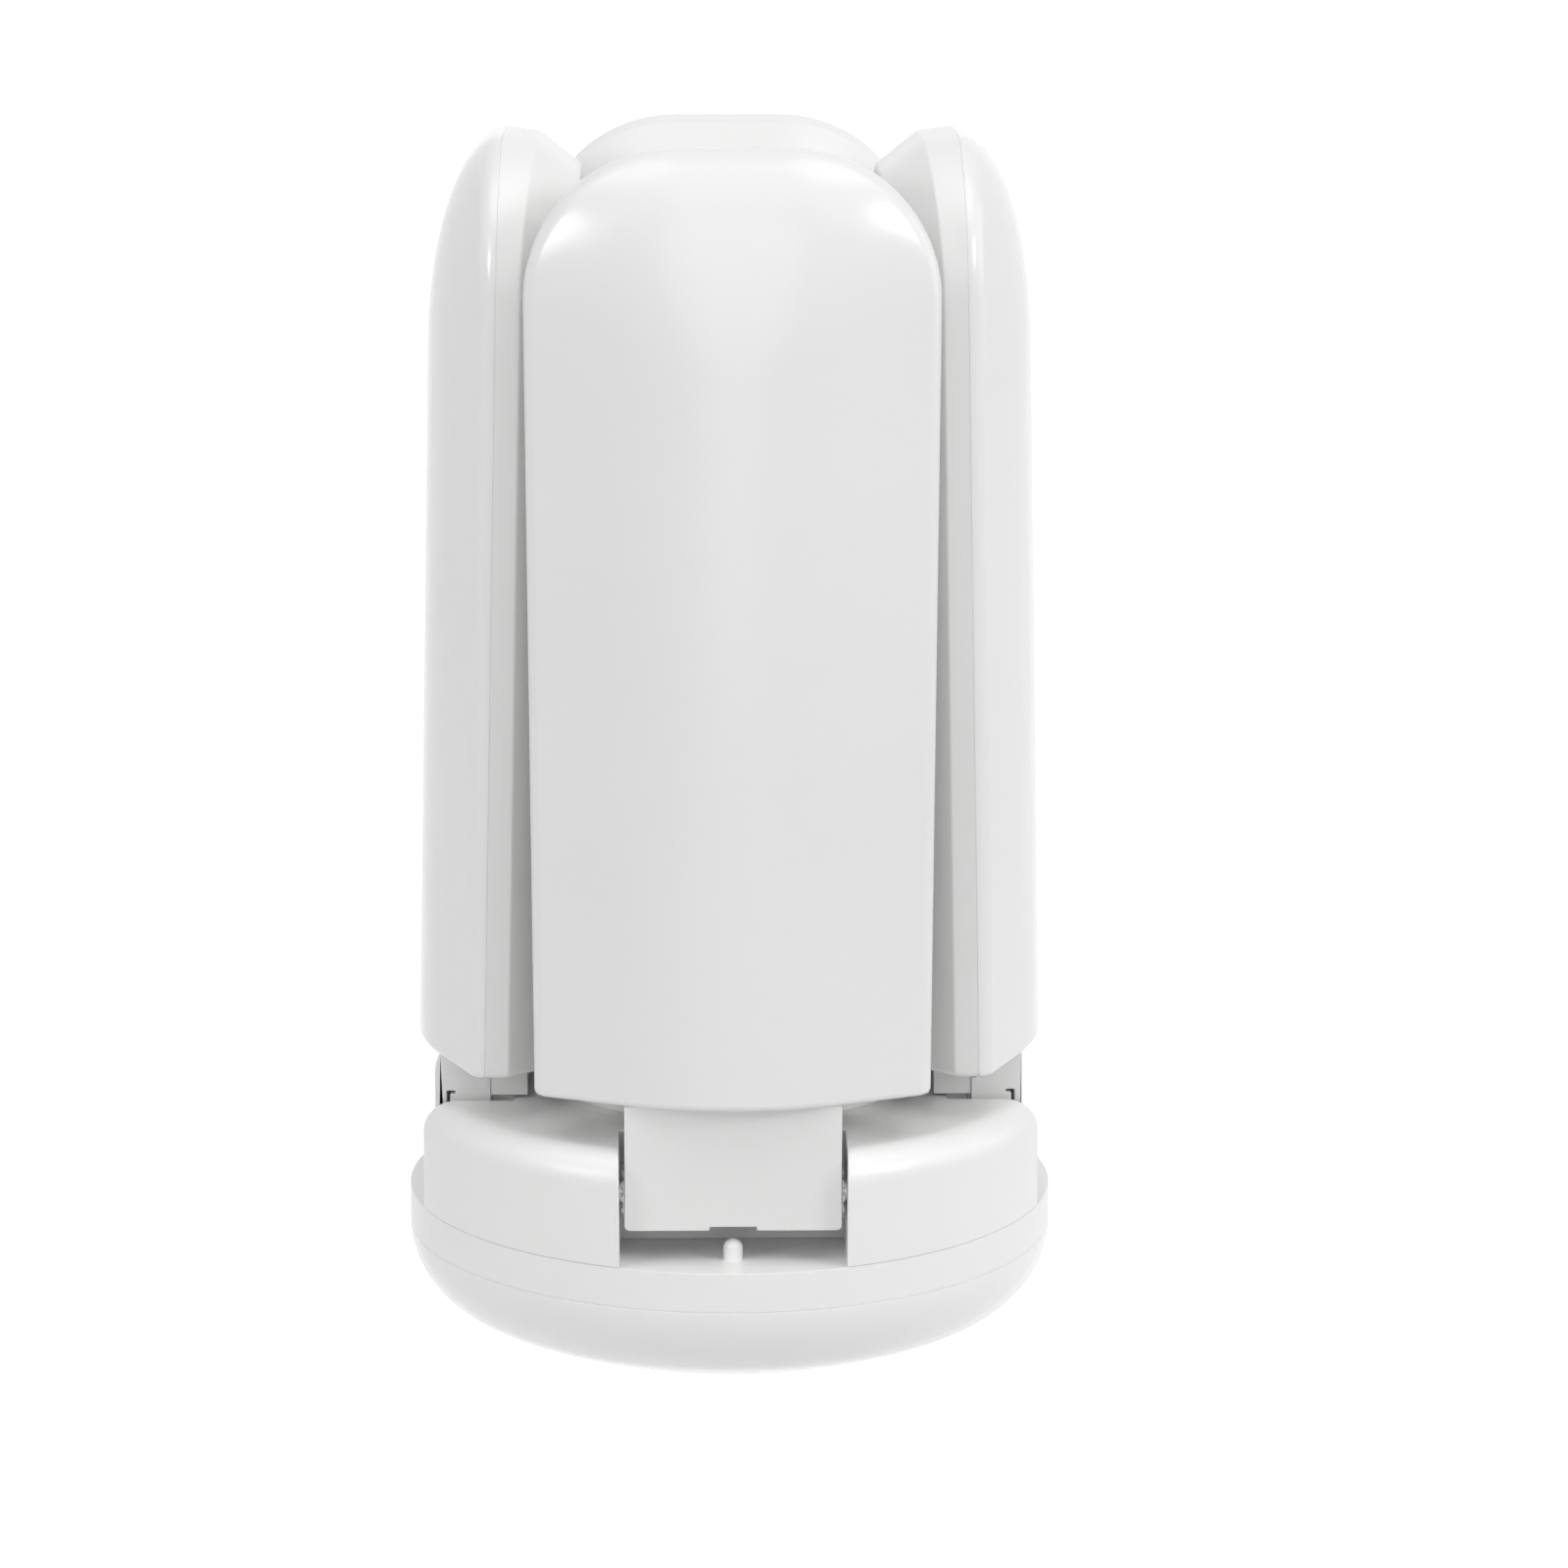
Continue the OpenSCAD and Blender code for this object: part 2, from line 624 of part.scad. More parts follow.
module screw_shell() {
    turn = 32;
    rows = 36;
    step = (thread_top - thread_low) / rows;
    outer = [for (i = [0:rows], k = [0:turn - 1]) let (a = 360 * k / turn, z = thread_low + i * step)
        [thread_wave(z, a) * cos(a), thread_wave(z, a) * sin(a), z]];
    inner = [for (z = [thread_low, thread_top], k = [0:turn - 1]) let (a = 360 * k / turn)
        [(cap_bore_r + 0.05) * cos(a), (cap_bore_r + 0.05) * sin(a), z]];
    first = len(outer);
    function next(k) = (k + 1) % turn;
    faces = concat(
        [for (i = [0:rows - 1], k = [0:turn - 1]) each [
            [i * turn + k, (i + 1) * turn + k, i * turn + next(k)],
            [i * turn + next(k), (i + 1) * turn + k, (i + 1) * turn + next(k)]
        ]],
        [for (k = [0:turn - 1]) each [
            [first + k, first + next(k), first + turn + k],
            [first + next(k), first + turn + next(k), first + turn + k]
        ]],
        [for (k = [0:turn - 1]) each [
            [k, next(k), first + k],
            [next(k), first + next(k), first + k]
        ]],
        [for (k = [0:turn - 1]) each [
            [rows * turn + k, first + turn + k, rows * turn + next(k)],
            [rows * turn + next(k), first + turn + k, first + turn + next(k)]
        ]]
    );
    color(metal) {
        tube(collar_r, cap_bore_r, collar_l);
        polyhedron(concat(outer, inner), faces);
        translate([0, 0, thread_top - 0.3]) tube(thread_r - thread_depth, cap_bore_r - 1.6, 0.9);
    }
}

contact_r = 4.8;

module cap_insulator() {
    r = cap_bore_r - 1.7;
    color([0.1, 0.1, 0.1]) rotate_extrude($fn = 96) polygon([
        [2, thread_top - 3], [cap_bore_r - 0.1, thread_top - 3], [cap_bore_r - 0.1, thread_top - 0.4],
        [r, thread_top - 0.4], [r, thread_top + 1], [contact_r + 1.4, cap_l - 2.2],
        [contact_r + 0.2, cap_l - 2.2], [contact_r + 0.2, cap_l - 2.8], [2, cap_l - 2.8]
    ]);
}

module centre_contact() {
    color(metal) {
        translate([0, 0, cap_l - 2.7]) cylinder(r = contact_r, h = 1.2, $fn = 64);
        translate([0, 0, cap_l - 1.6]) rotate_extrude($fn = 64) polygon(concat(
            [[0, 0]], [for (i = [0:6]) let (a = 15 * i) [(contact_r - 0.8) * cos(a), 1.6 * sin(a)]]
        ));
    }
}

// ---------- hub wires, as routes in hand-picked round numbers ----------

wire_r = wire_d / 2;

module cap_wires() {
    top = driver_top_z - cap_z;
    color([0.75, 0.1, 0.1]) wire(smooth([
        [5, 0, top + 0.1], [5, 0, top + 4], [2, 0, -2], [0, 0, 6], [0, 0, cap_l - 2.8]], 4), 0.7);
    color([0.2, 0.2, 0.2]) wire(smooth([
        [-5, 0, top + 0.1], [-5, 0, top + 4], [-7, 0, -4], [-8.4, 0, 4], [-8.6, 0, 11],
        [-9.6, 0, 13.6], [-11.3, 0, 13.9]], 4), 0.7);
}

module central_wire() {
    color([0.9, 0.9, 0.88]) from_lens() wire(smooth([
        [0, -2, driver_z + 2], [0, -2, driver_z - 4], [0, 0, sink_z + 8], [0, 0, sink_z + 2],
        [0, 0, led_board_z]], 4), wire_r);
}

// From the driver board's side, through a corner block and into the hinge tube's end
wire_end_x = 5.3;
beside_board = board_t / 2 + wire_r + bore_gap;
module leaf_feed_wires() {
    end_x = wire_end_x;
    // how far the bend stands out past the bearing, between it and the corner block's screw post
    bend = min(6, post_at * sqrt(1 / 2) - post_r - wire_r - gap - bearing_x);
    color([0.9, 0.9, 0.88]) for (k = [0:3]) at_leaf(k) wire(concat(
        [k % 2 == 0 ? [6, -beside_board, driver_z + 4] : [beside_board, -6, driver_z + 4]],
        smooth([
            k % 2 == 0 ? [6, -beside_board, driver_z + 1] : [beside_board, -6, driver_z + 1],
            [7, -7, driver_z - 3], [14, -14, axis_z - 2],
            [bearing_x + bend - 2, -notch_back_r + 8, axis_z - 2], [bearing_x + bend, -axis_r + 8, axis_z],
            [bearing_x + bend - 1, -axis_r + 2, axis_z], [bearing_x + 2.6, -axis_r, axis_z]], 4),
        [[bearing_x - 4, -axis_r, axis_z], [end_x, -axis_r, axis_z]]
    ), wire_r);
}

// ---------- leaves ----------

finger_w = 2.2;    // width of the arm's two side fingers
plate_t = 1.2;     // thickness of the arm's face plate
slit_w = 0.5;      // width of the slits behind the face plate
slit_rise = 8.9;   // top of the slits above the hinge axis
pin_cut_w = 7.3;   // width of the cut in the face plate over the notch floor's pin
pin_cut_h = 0.6;
root_t = 5;        // thickness of the arm's solid root, under the leaf
root_hole_r = wire_r + 0.6;
root_screw_x = 11;
arm_round = 0.9;    // radius of the arm's lower corners
click_base = 0.3;   // thickness of the disc under the click teeth, half of it in the arm
click_rise = 0.2;   // how far the teeth reach past that disc
click_run = 1.7;    // length of a click tooth
click_r = 0.85;     // radius of a click tooth's back
heel_step = 0.15;   // how much narrower the heel is than the arm, on each side
heel_lift = 0.5;    // gap between the heel and the blocks' top
root_screw_r = 1;

end_wall = 2;      // thickness of the shell's lower end
lip_in = shell_wall + 0.15;
lip_w = 1.2;
lip_h = 1.4;

// The wall at the leaf's lower end, that closes the diffuser
module end_wall_profile() {
    half = leaf_half_low - lip_in - lip_w - 0.15;
    polygon(concat(
        [[half, -shell_wall], [-half, -shell_wall]],
        [for (i = [-8:8]) [half * i / 8, dome(half / leaf_half_low * abs(i) / 8) - diffuser_wall - 0.25]]
    ));
}

// The click teeth on the arm's right side, s = 1, or left side, s = -1
module click_ring(s) {
    rotate([0, 90, 0]) cylinder(d = click_d - 2 * click_rise, h = click_base, center = true, $fn = 64);
    for (i = [0:click_n - 1]) rotate([360 * i / click_n, 0, 0])
        translate([s * (click_h - click_r), 0, click_d / 2 - click_run])
            cylinder(r = click_r, h = click_run, $fn = 24);
}

// The arm under a leaf: a face plate, two side fingers round the hinge tube and a solid root
module leaf_arm(k) {
    bottom = axis_z - arm_drop;
    slit_top = axis_z + slit_rise;
    half = arm_w / 2;
    color(white) difference() {
        at_leaf(k) difference() {
            union() {
                translate([0, arm_depth - arm_face_r, 0]) rotate([90, 0, 0]) linear_extrude(arm_depth) {
                    translate([-half, bottom + arm_round])
                        square([arm_w, leaf_z + 2 - bottom - arm_round]);
                    translate([-half + arm_round, bottom])
                        square([arm_w - 2 * arm_round, arm_round + over]);
                    for (s = [-1, 1]) translate([s * (half - arm_round), bottom + arm_round])
                        circle(arm_round, $fn = 48);
                }
                for (s = [-1, 1]) translate([s * half, -axis_r, axis_z]) click_ring(s);
                translate([heel_step - half, -arm_back_r - over, block_z + heel_lift])
                    cube([arm_w - 2 * heel_step, heel_t + over, leaf_z + 2 - block_z - heel_lift]);
            }
            // the hollow behind the face plate, open to the back
            translate([-half + finger_w, -arm_face_r + plate_t, bottom - over])
                cube([arm_w - 2 * finger_w, arm_depth, leaf_z - root_t - bottom + over]);
            // the slits that free the side fingers from the face plate
            for (s = [-1, 1]) translate([s > 0 ? half - finger_w - 0.1 : -half - over,
                -arm_face_r + plate_t, 0]) {
                translate([0, 0, bottom - over])
                    cube([finger_w + over + 0.1, slit_w, slit_top - bottom + over]);
                translate([0, 0, slit_top - slit_w]) cube([finger_w + over + 0.1, slit_w + 0.9, slit_w]);
            }
            translate([-pin_cut_w / 2, -arm_face_r - over, bottom - over])
                cube([pin_cut_w, plate_t + 2 * over, over + pin_cut_h]);
            translate([-half - over - click_h, -axis_r, axis_z]) rotate([0, 90, 0])
                cylinder(d = axle_d + 0.04, h = arm_w + 2 * (over + click_h), $fn = 64);
            translate([0, -axis_r, leaf_z - root_t - over])
                cylinder(r = root_hole_r, h = root_t + 4, $fn = 48);
        }
        // the leaf's lower end lies on the root
        in_leaf(k) translate([-arm_w, 0, -arm_w]) cube(2 * arm_w);
        in_leaf(k) root_screw_holes();
    }
}

// Puts the root's two screws through the leaf's end wall, with their heads inside the leaf
module at_root_screws() {
    for (s = [-1, 1]) translate([s * root_screw_x, end_wall, axis_r - seam_r]) rotate([-90, 0, 0])
        children();
}

module root_screw_holes() {
    at_root_screws() translate([0, 0, -end_wall - root_t + 0.6])
        cylinder(r = root_screw_r + bore_gap, h = end_wall + root_t + over, $fn = 48);
}

leaf_screw_y = [34, 106];
leaf_screw_r = 1;
board_z = -band_t + 0.3;
leaf_post_r = 2.8;
slot_n = 6;
slot_w = 1.2;
slot_l = 12;
slot_pitch = 5;

module leaf_shell(k) {
    floor_in = -back_t + shell_wall;
    in_slope = shell_wall * 0.8;
    color(white) in_leaf(k) difference() {
        union() {
            leaf_skin(
                [[0, 1, 0], [shell_draft, 1, -band_t, shell_draft, -band_tip],
                 [slope_w, 1, -back_t, slope_tip, -back_t], [0, 0, -back_t]],
                [[shell_wall, 1, 0], [shell_wall, 1, -band_t + 0.6, shell_wall, -band_tip + 0.6],
                 [slope_w + in_slope, 1, floor_in, slope_tip + in_slope, floor_in], [0, 0, floor_in]],
                end_wall);
            for (y = leaf_screw_y) translate([0, y, floor_in - 0.5])
                cylinder(r = leaf_post_r, h = board_z - floor_in + 0.5, $fn = 48);
            translate([0, end_wall, 0]) rotate([90, 0, 0]) linear_extrude(end_wall) end_wall_profile();
        }
        for (y = leaf_screw_y) translate([0, y, floor_in])
            cylinder(r = leaf_screw_r + bore_gap, h = 20, $fn = 48);
        translate([0, -over, axis_r - seam_r]) rotate([-90, 0, 0])
            cylinder(r = root_hole_r, h = end_wall + 2 * over, $fn = 48);
        root_screw_holes();
        // cooling slots near the tip
        for (i = [0:slot_n - 1]) translate([(i - (slot_n - 1) / 2) * slot_pitch - slot_w / 2,
            leaf_l - slope_tip - 6 - slot_l, -back_t - over]) cube([slot_w, slot_l, shell_wall + 2 * over]);
    }
}

module diffuser(k) {
    lip_share = 1 - (lip_in + lip_w) / leaf_half;
    color(milk) in_leaf(k) difference() {
        leaf_skin(
            [for (u = [1, 0.997, 0.985, 0.97, 0.95, 0.88, 0.78, 0.62, 0.46, 0.3, 0.15, 0])
                [0, u, dome(u), 0, tip_dome(u)]],
            concat(
                [[lip_in, 1, 0], [lip_in, 1, -lip_h], [lip_in + lip_w, 1, -lip_h],
                 [lip_in + lip_w, 1, dome(lip_share) - diffuser_wall,
                  lip_in + lip_w, tip_dome(lip_share) - diffuser_wall]],
                [for (u = [0.8, 0.62, 0.46, 0.3, 0.15, 0])
                    [0, u, dome(u) - diffuser_wall, 0, tip_dome(u) - diffuser_wall]]),
            0);
        // the lip stops short of the shell's end wall
        translate([-leaf_half - over, -over, -lip_h - over])
            cube([2 * (leaf_half + over), end_wall + 0.15 + over, lip_h + over]);
    }
}

module leaf_board(k) {
    edge = shell_wall + 1.4;
    base = end_wall + 1;
    color(board_white) in_leaf(k) difference() {
        translate([0, 0, board_z]) linear_extrude(board_t)
            polygon([for (p = outline) drawn_in(p, edge, base)]);
        for (y = leaf_screw_y) translate([0, y, board_z - over])
            cylinder(r = leaf_screw_r + bore_gap, h = board_t + 2 * over, $fn = 48);
    }
}

module leaf_leds(k) {
    pitch = (leaf_l - 28) / (led_rows - 1);
    color(chip_yellow) in_leaf(k) for (i = [0:led_rows - 1], x = [-18, -7, 7, 18])
        translate([x - led_w / 2, 16 + pitch * i - led_l / 2, board_z + board_t])
            cube([led_w, led_l, led_t]);
}

module hinge_tube(k) {
    l = 2 * (bearing_x + boss_l - 0.6);
    color(steel) at_leaf(k) translate([0, -axis_r, axis_z]) difference() {
        translate([-l / 2, 0, 0]) rotate([0, 90, 0]) cylinder(d = axle_d, h = l, $fn = 64);
        translate([-l / 2 - over, 0, 0]) rotate([0, 90, 0])
            cylinder(d = axle_bore, h = l + 2 * over, $fn = 64);
        translate([-4, -wire_r - 0.3, 0]) cube([8, wire_d + 0.6, axle_d]);
    }
}

module leaf_screws(k) {
    color(steel) in_leaf(k) {
        for (y = leaf_screw_y) translate([0, y, board_z + board_t]) screw(1.9, 1.2, leaf_screw_r, 7);
        at_root_screws() screw(2, 1.3, root_screw_r, end_wall + root_t - 1);
    }
}

// From the hinge tube's window, up through the leaf's root to the leaf board
module leaf_wire(k) {
    color([0.9, 0.9, 0.88]) at_leaf(k) wire(smooth([
        [wire_end_x - 0.3, -axis_r, axis_z], [2, -axis_r, axis_z + 0.2], [0, -axis_r, axis_z + 3],
        [0, -axis_r, axis_z + 9], [0, -axis_r, leaf_z + 4],
        [0, -seam_r - 0.4, leaf_z + 10], [0, -seam_r + 1.1, leaf_z + 16]], 4), wire_r);
}

central_lens();
base_ring();
upper_housing();
heat_sink();
central_led_board();
central_leds();
housing_screws();
board_screws();
neck();
neck_screws();
driver_board();
transformer();
capacitors();
driver_chips();
screw_shell();
cap_insulator();
centre_contact();
cap_wires();
central_wire();
leaf_feed_wires();
leaf_arm(0);  // leaf_arm_front
leaf_arm(1);  // leaf_arm_right
leaf_arm(2);  // leaf_arm_back
leaf_arm(3);  // leaf_arm_left
leaf_shell(0);  // leaf_shell_front
leaf_shell(1);  // leaf_shell_right
leaf_shell(2);  // leaf_shell_back
leaf_shell(3);  // leaf_shell_left
diffuser(0);  // diffuser_front
diffuser(1);  // diffuser_right
diffuser(2);  // diffuser_back
diffuser(3);  // diffuser_left
leaf_board(0);  // leaf_board_front
leaf_board(1);  // leaf_board_right
leaf_board(2);  // leaf_board_back
leaf_board(3);  // leaf_board_left
leaf_leds(0);  // leaf_leds_front
leaf_leds(1);  // leaf_leds_right
leaf_leds(2);  // leaf_leds_back
leaf_leds(3);  // leaf_leds_left
hinge_tube(0);  // hinge_tube_front
hinge_tube(1);  // hinge_tube_right
hinge_tube(2);  // hinge_tube_back
hinge_tube(3);  // hinge_tube_left
leaf_screws(0);  // leaf_screws_front
leaf_screws(1);  // leaf_screws_right
leaf_screws(2);  // leaf_screws_back
leaf_screws(3);  // leaf_screws_left
leaf_wire(0);  // leaf_wire_front
leaf_wire(1);  // leaf_wire_right
leaf_wire(2);  // leaf_wire_back
leaf_wire(3);  // leaf_wire_left
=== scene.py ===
"""The looks of the folding garage light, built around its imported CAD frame. Metres throughout;
lengths named in millimetres are multiplied by MM."""
import math

import bmesh
import bpy
from mathutils import Matrix, Vector


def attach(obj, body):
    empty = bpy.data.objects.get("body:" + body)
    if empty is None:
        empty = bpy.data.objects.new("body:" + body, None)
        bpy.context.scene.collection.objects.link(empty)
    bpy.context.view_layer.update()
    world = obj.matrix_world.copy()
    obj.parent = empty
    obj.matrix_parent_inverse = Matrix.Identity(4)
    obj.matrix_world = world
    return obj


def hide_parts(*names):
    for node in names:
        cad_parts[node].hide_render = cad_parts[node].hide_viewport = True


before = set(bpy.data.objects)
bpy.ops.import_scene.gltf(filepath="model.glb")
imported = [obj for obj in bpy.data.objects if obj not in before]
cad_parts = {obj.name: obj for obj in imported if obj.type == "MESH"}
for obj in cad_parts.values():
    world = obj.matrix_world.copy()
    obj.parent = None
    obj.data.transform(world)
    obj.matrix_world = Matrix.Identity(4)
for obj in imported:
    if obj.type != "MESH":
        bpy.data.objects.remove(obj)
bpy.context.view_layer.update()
scene = bpy.context.scene
MM = 0.001
SIDES = ("front", "right", "back", "left")

# ---------- camera ----------

camera_data = bpy.data.cameras.new("camera")
camera_data.sensor_width = 36
camera_data.lens = 107.04
camera_data.shift_x = 0.03472
camera_data.shift_y = -0.13086
camera_data.clip_start = 0.05
camera_data.clip_end = 20
camera = bpy.data.objects.new("camera", camera_data)
camera.location = (-0.00893, -0.74115, 0.13747)
camera.rotation_euler = (math.radians(90 - 9.74), 0, math.radians(-0.69))
scene.collection.objects.link(camera)
scene.camera = camera

# ---------- sizes, in millimetres, as in the CAD source ----------

DISC_R = 52.5
LENS_DEPTH = 21.9
LENS_SHOULDER_R = 13.3
LENS_WALL = 1.6
LENS_LIP_IN = 2.5   # the lip that holds the lens: its distance from the rim, its width and its height
LENS_LIP_W = 1.4
LENS_LIP_H = 3.4
RING_H = 6.3
BLOCK_H = 17.8
NECK_H = 71.5
OVERALL_H = 200
LEAF_LIFT = 7.1     # from the blocks' top to a leaf's lower end
ARM_IN = 5.7        # the arm's face, in from the rim
AXIS_IN = 4.5       # the hinge axis, in from the arm's face
SEAM_IN = 3.4       # a leaf's seam, in from the hinge axis
RING_Z = LENS_DEPTH
BLOCK_Z = RING_Z + RING_H + BLOCK_H
CAP_Z = BLOCK_Z + NECK_H
LEAF_Z = BLOCK_Z + LEAF_LIFT
SEAM_R = DISC_R - ARM_IN - AXIS_IN - SEAM_IN
LEAN = math.radians(1.27)
LEAF_L = (OVERALL_H - LEAF_Z) / math.cos(LEAN)
BAND = 3.7          # depth of the shell's upright edge, along a leaf and at its tip
BAND_TIP = 5.4
BACK = 12.3         # depth of the shell
SLOPE = 9.0         # width of the shell's slope, along a leaf and at its tip
SLOPE_TIP = 6.0
SHELL_WALL = 2.0
DRAFT = 0.6
LEAF_GAP = 0.7      # room between neighbouring leaves at their tips
HALF = SEAM_R - LEAF_L * math.sin(LEAN) - BAND - LEAF_GAP + DRAFT
FLARE = 1.0
TIP_R = 23.0        # rounding of a tip's corners, and the straight part between them
TIP_FLAT = 17.4
CROWN = 11.8        # height of the diffuser's dome, and how far from the tip it comes down
CROWN_RUN = 35.0
CROWN_SHARE = 0.6   # share of the dome's width with the soft curve, and the slope outside it
FLANK = 1.207
RIM_SHARE = 0.95    # share of the way out at which the dome turns down to its rim
WALL = 1.5
SPINE_L = LEAF_L - CROWN_RUN
SIDE_L = LEAF_L - TIP_R
END_WALL = 2.0
DIFFUSER_LIP = 1.5  # room that the diffuser's lip takes inside the shell, with its gaps
DIFFUSER_GAP = 0.25  # gap between the end wall and the diffuser's inside
END_ROUND = 1.0     # rounding of a leaf's lower end
SEAM_ROUND = 0.12   # rounding of the edges that meet at a seam

# ---------- mesh helpers ----------


def new_object(name, mesh):
    obj = bpy.data.objects.new(name, mesh)
    scene.collection.objects.link(obj)
    return obj


def finish_mesh(bm, name, sharp=35.0):
    """A mesh from bm, its lengths in millimetres, smooth but for edges sharper than that angle."""
    bmesh.ops.remove_doubles(bm, verts=bm.verts, dist=1e-4)
    bmesh.ops.dissolve_degenerate(bm, edges=bm.edges, dist=1e-5)
    bmesh.ops.recalc_face_normals(bm, faces=bm.faces)
    bmesh.ops.scale(bm, vec=(MM, MM, MM), verts=bm.verts)
    mark_smooth(bm, sharp)
    mesh = bpy.data.meshes.new(name)
    bm.to_mesh(mesh)
    bm.free()
    return mesh


def mark_smooth(bm, sharp):
    for face in bm.faces:
        face.smooth = True
    for edge in bm.edges:
        edge.smooth = edge.is_manifold and edge.calc_face_angle(0) < math.radians(sharp)


def even_normals(obj):
    """Keeps flat faces flat where they run into rounded edges."""
    modifier = obj.modifiers.new("normals", "WEIGHTED_NORMAL")
    modifier.keep_sharp = True
    modifier.weight = 90


def lathe(points, steps, name, sharp=35.0):
    """A closed section of (radius, height) points turned round the axis. Heights are in the frame."""
    bm = bmesh.new()
    rings = []
    for i in range(steps):
        angle = 2 * math.pi * i / steps
        rings.append([bm.verts.new((r * math.cos(angle), r * math.sin(angle), z)) for r, z in points])
    for i in range(steps):
        a, b = rings[i], rings[(i + 1) % steps]
        for j in range(len(points)):
            k = (j + 1) % len(points)
            corners = [a[j], b[j], b[k], a[k]]
            if points[j][0] < 1e-6 and points[k][0] < 1e-6:
                continue
            bm.faces.new(corners)
    return finish_mesh(bm, name, sharp)


def rounded(points, radii, steps=4):
    """The open line through points, with each corner rounded to its radius."""
    line = [points[0]]
    for before, corner, after, radius in zip(points, points[1:], points[2:], radii):
        a = Vector(before) - Vector(corner)
        b = Vector(after) - Vector(corner)
        turn = a.angle(b)
        reach = min(radius / math.tan(turn / 2), a.length * 0.45, b.length * 0.45)
        if radius <= 0:
            line.append(tuple(corner))
            continue
        start = Vector(corner) + a.normalized() * reach
        end = Vector(corner) + b.normalized() * reach
        for i in range(steps + 1):
            t = i / steps
            p = start * (1 - t) ** 2 + Vector(corner) * 2 * t * (1 - t) + end * t * t
            line.append(tuple(p))
    line.append(points[-1])
    return line


def refined(node, name, bevel, sharp=35.0):
    """A copy of a CAD node with its sharp edges rounded and its curved faces smooth."""
    bm = bmesh.new()
    bm.from_mesh(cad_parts[node].data)
    bmesh.ops.remove_doubles(bm, verts=bm.verts, dist=1e-6)
    bmesh.ops.dissolve_limit(bm, angle_limit=math.radians(0.3), verts=bm.verts, edges=bm.edges)
    if bevel > 0:
        edges = [e for e in bm.edges if e.is_manifold and e.calc_face_angle(0) > math.radians(sharp)]
        bmesh.ops.bevel(bm, geom=edges, offset=bevel * MM, offset_type="OFFSET", segments=2,
                        profile=0.5, affect="EDGES", clamp_overlap=False)
        bmesh.ops.remove_doubles(bm, verts=bm.verts, dist=2e-6)
    mark_smooth(bm, sharp)
    mesh = bpy.data.meshes.new(name)
    bm.to_mesh(mesh)
    bm.free()
    obj = new_object(name, mesh)
    even_normals(obj)
    return obj


# ---------- the leaf's outline and sections ----------


def flank_height(u):
    if u < CROWN_SHARE:
        return 1 - FLANK * u * u / (2 * CROWN_SHARE)
    return 1 - FLANK * CROWN_SHARE / 2 - FLANK * (u - CROWN_SHARE)


def dome(u, tip):
    """Height of the diffuser's outside at the share u of the way to the rim."""
    rim = math.sqrt(max(0, 1 - ((u - RIM_SHARE) / (1 - RIM_SHARE)) ** 2)) if u > RIM_SHARE else 1
    side = CROWN * flank_height(u) * rim
    return side + tip * (CROWN * math.sqrt(max(0, 1 - u * u)) - side)


def leaf_outline(low_rows):
    """(x, y, distance inside the lower end's rounding) from the lower left corner to the lower right."""
    left = []
    for y, inset in low_rows:
        left.append((-HALF + FLARE * (1 - y / SIDE_L), y, inset))
    start = low_rows[-1][0]
    for i in range(1, 13):
        y = start + (SIDE_L - start) * i / 13
        left.append((-HALF + FLARE * (1 - y / SIDE_L), y, 0))
    for i in range(29):
        a = math.radians(90 * i / 28)
        left.append((-HALF + TIP_R - TIP_R * math.cos(a) + (HALF - TIP_FLAT / 2 - TIP_R) * math.sin(a),
                     SIDE_L + TIP_R * math.sin(a), 0))
    for i in range(1, 5):
        left.append((-TIP_FLAT / 2 * (1 - i / 4), LEAF_L, 0))
    return left + [(-x, y, inset) for x, y, inset in reversed(left[:-1])]


def rounded_end(radius, steps=5):
    return [(radius * (1 - math.cos(math.radians(90 * i / steps))),
             radius * (1 - math.sin(math.radians(90 * i / steps)))) for i in range(steps + 1)]


def tipwards(y):
    return max(0, (y - SIDE_L) / TIP_R) ** 2


def offset_line(line, inset):
    """A section line of (radius, height) moved inwards by inset. Its first point stays at its
    height and its last on the spine."""
    if inset <= 0:
        return line
    moved = []
    for i, (r, z) in enumerate(line):
        if i == 0:
            moved.append((r - inset, z))
            continue
        if i == len(line) - 1:
            moved.append((0, z - math.copysign(inset, z)))
            continue
        a, b = Vector(line[i - 1]), Vector(line[i + 1])
        along = (b - a).normalized()
        side = Vector((along.y, -along.x))
        if side.x > 0 or (abs(side.x) < 1e-6 and side.y * z > 0):
            side = -side
        moved.append((max(0, r + side.x * inset), z + side.y * inset))
    return moved


DOME_SHARES = [0.9985, 0.995, 0.99, 0.984, 0.976, 0.967, 0.958, 0.95, 0.92, 0.88, 0.82, 0.76, 0.70, 0.65,
               0.60, 0.54, 0.47, 0.40, 0.33, 0.26, 0.19, 0.12, 0.06, 0]


def dome_line(reach, tip):
    line = [(reach - SEAM_ROUND * (1 - math.sin(math.radians(a))),
             SEAM_ROUND * (1 - math.cos(math.radians(a)))) for a in (0, 30, 60, 90)]
    return line + [(reach * u, max(SEAM_ROUND * 1.2, dome(u, tip))) for u in DOME_SHARES]


def dome_inner_line(reach, tip):
    """The diffuser's inside, from its rim to the spine, with as many points as dome_line."""
    foot = reach - WALL
    line = [(foot, 0), (foot, 0.05), (foot, 0.1), (foot, 0.15)]
    for u in DOME_SHARES:
        line.append((min(foot, reach * u), max(0.3, dome(min(u, foot / reach), tip) - WALL)))
    return line


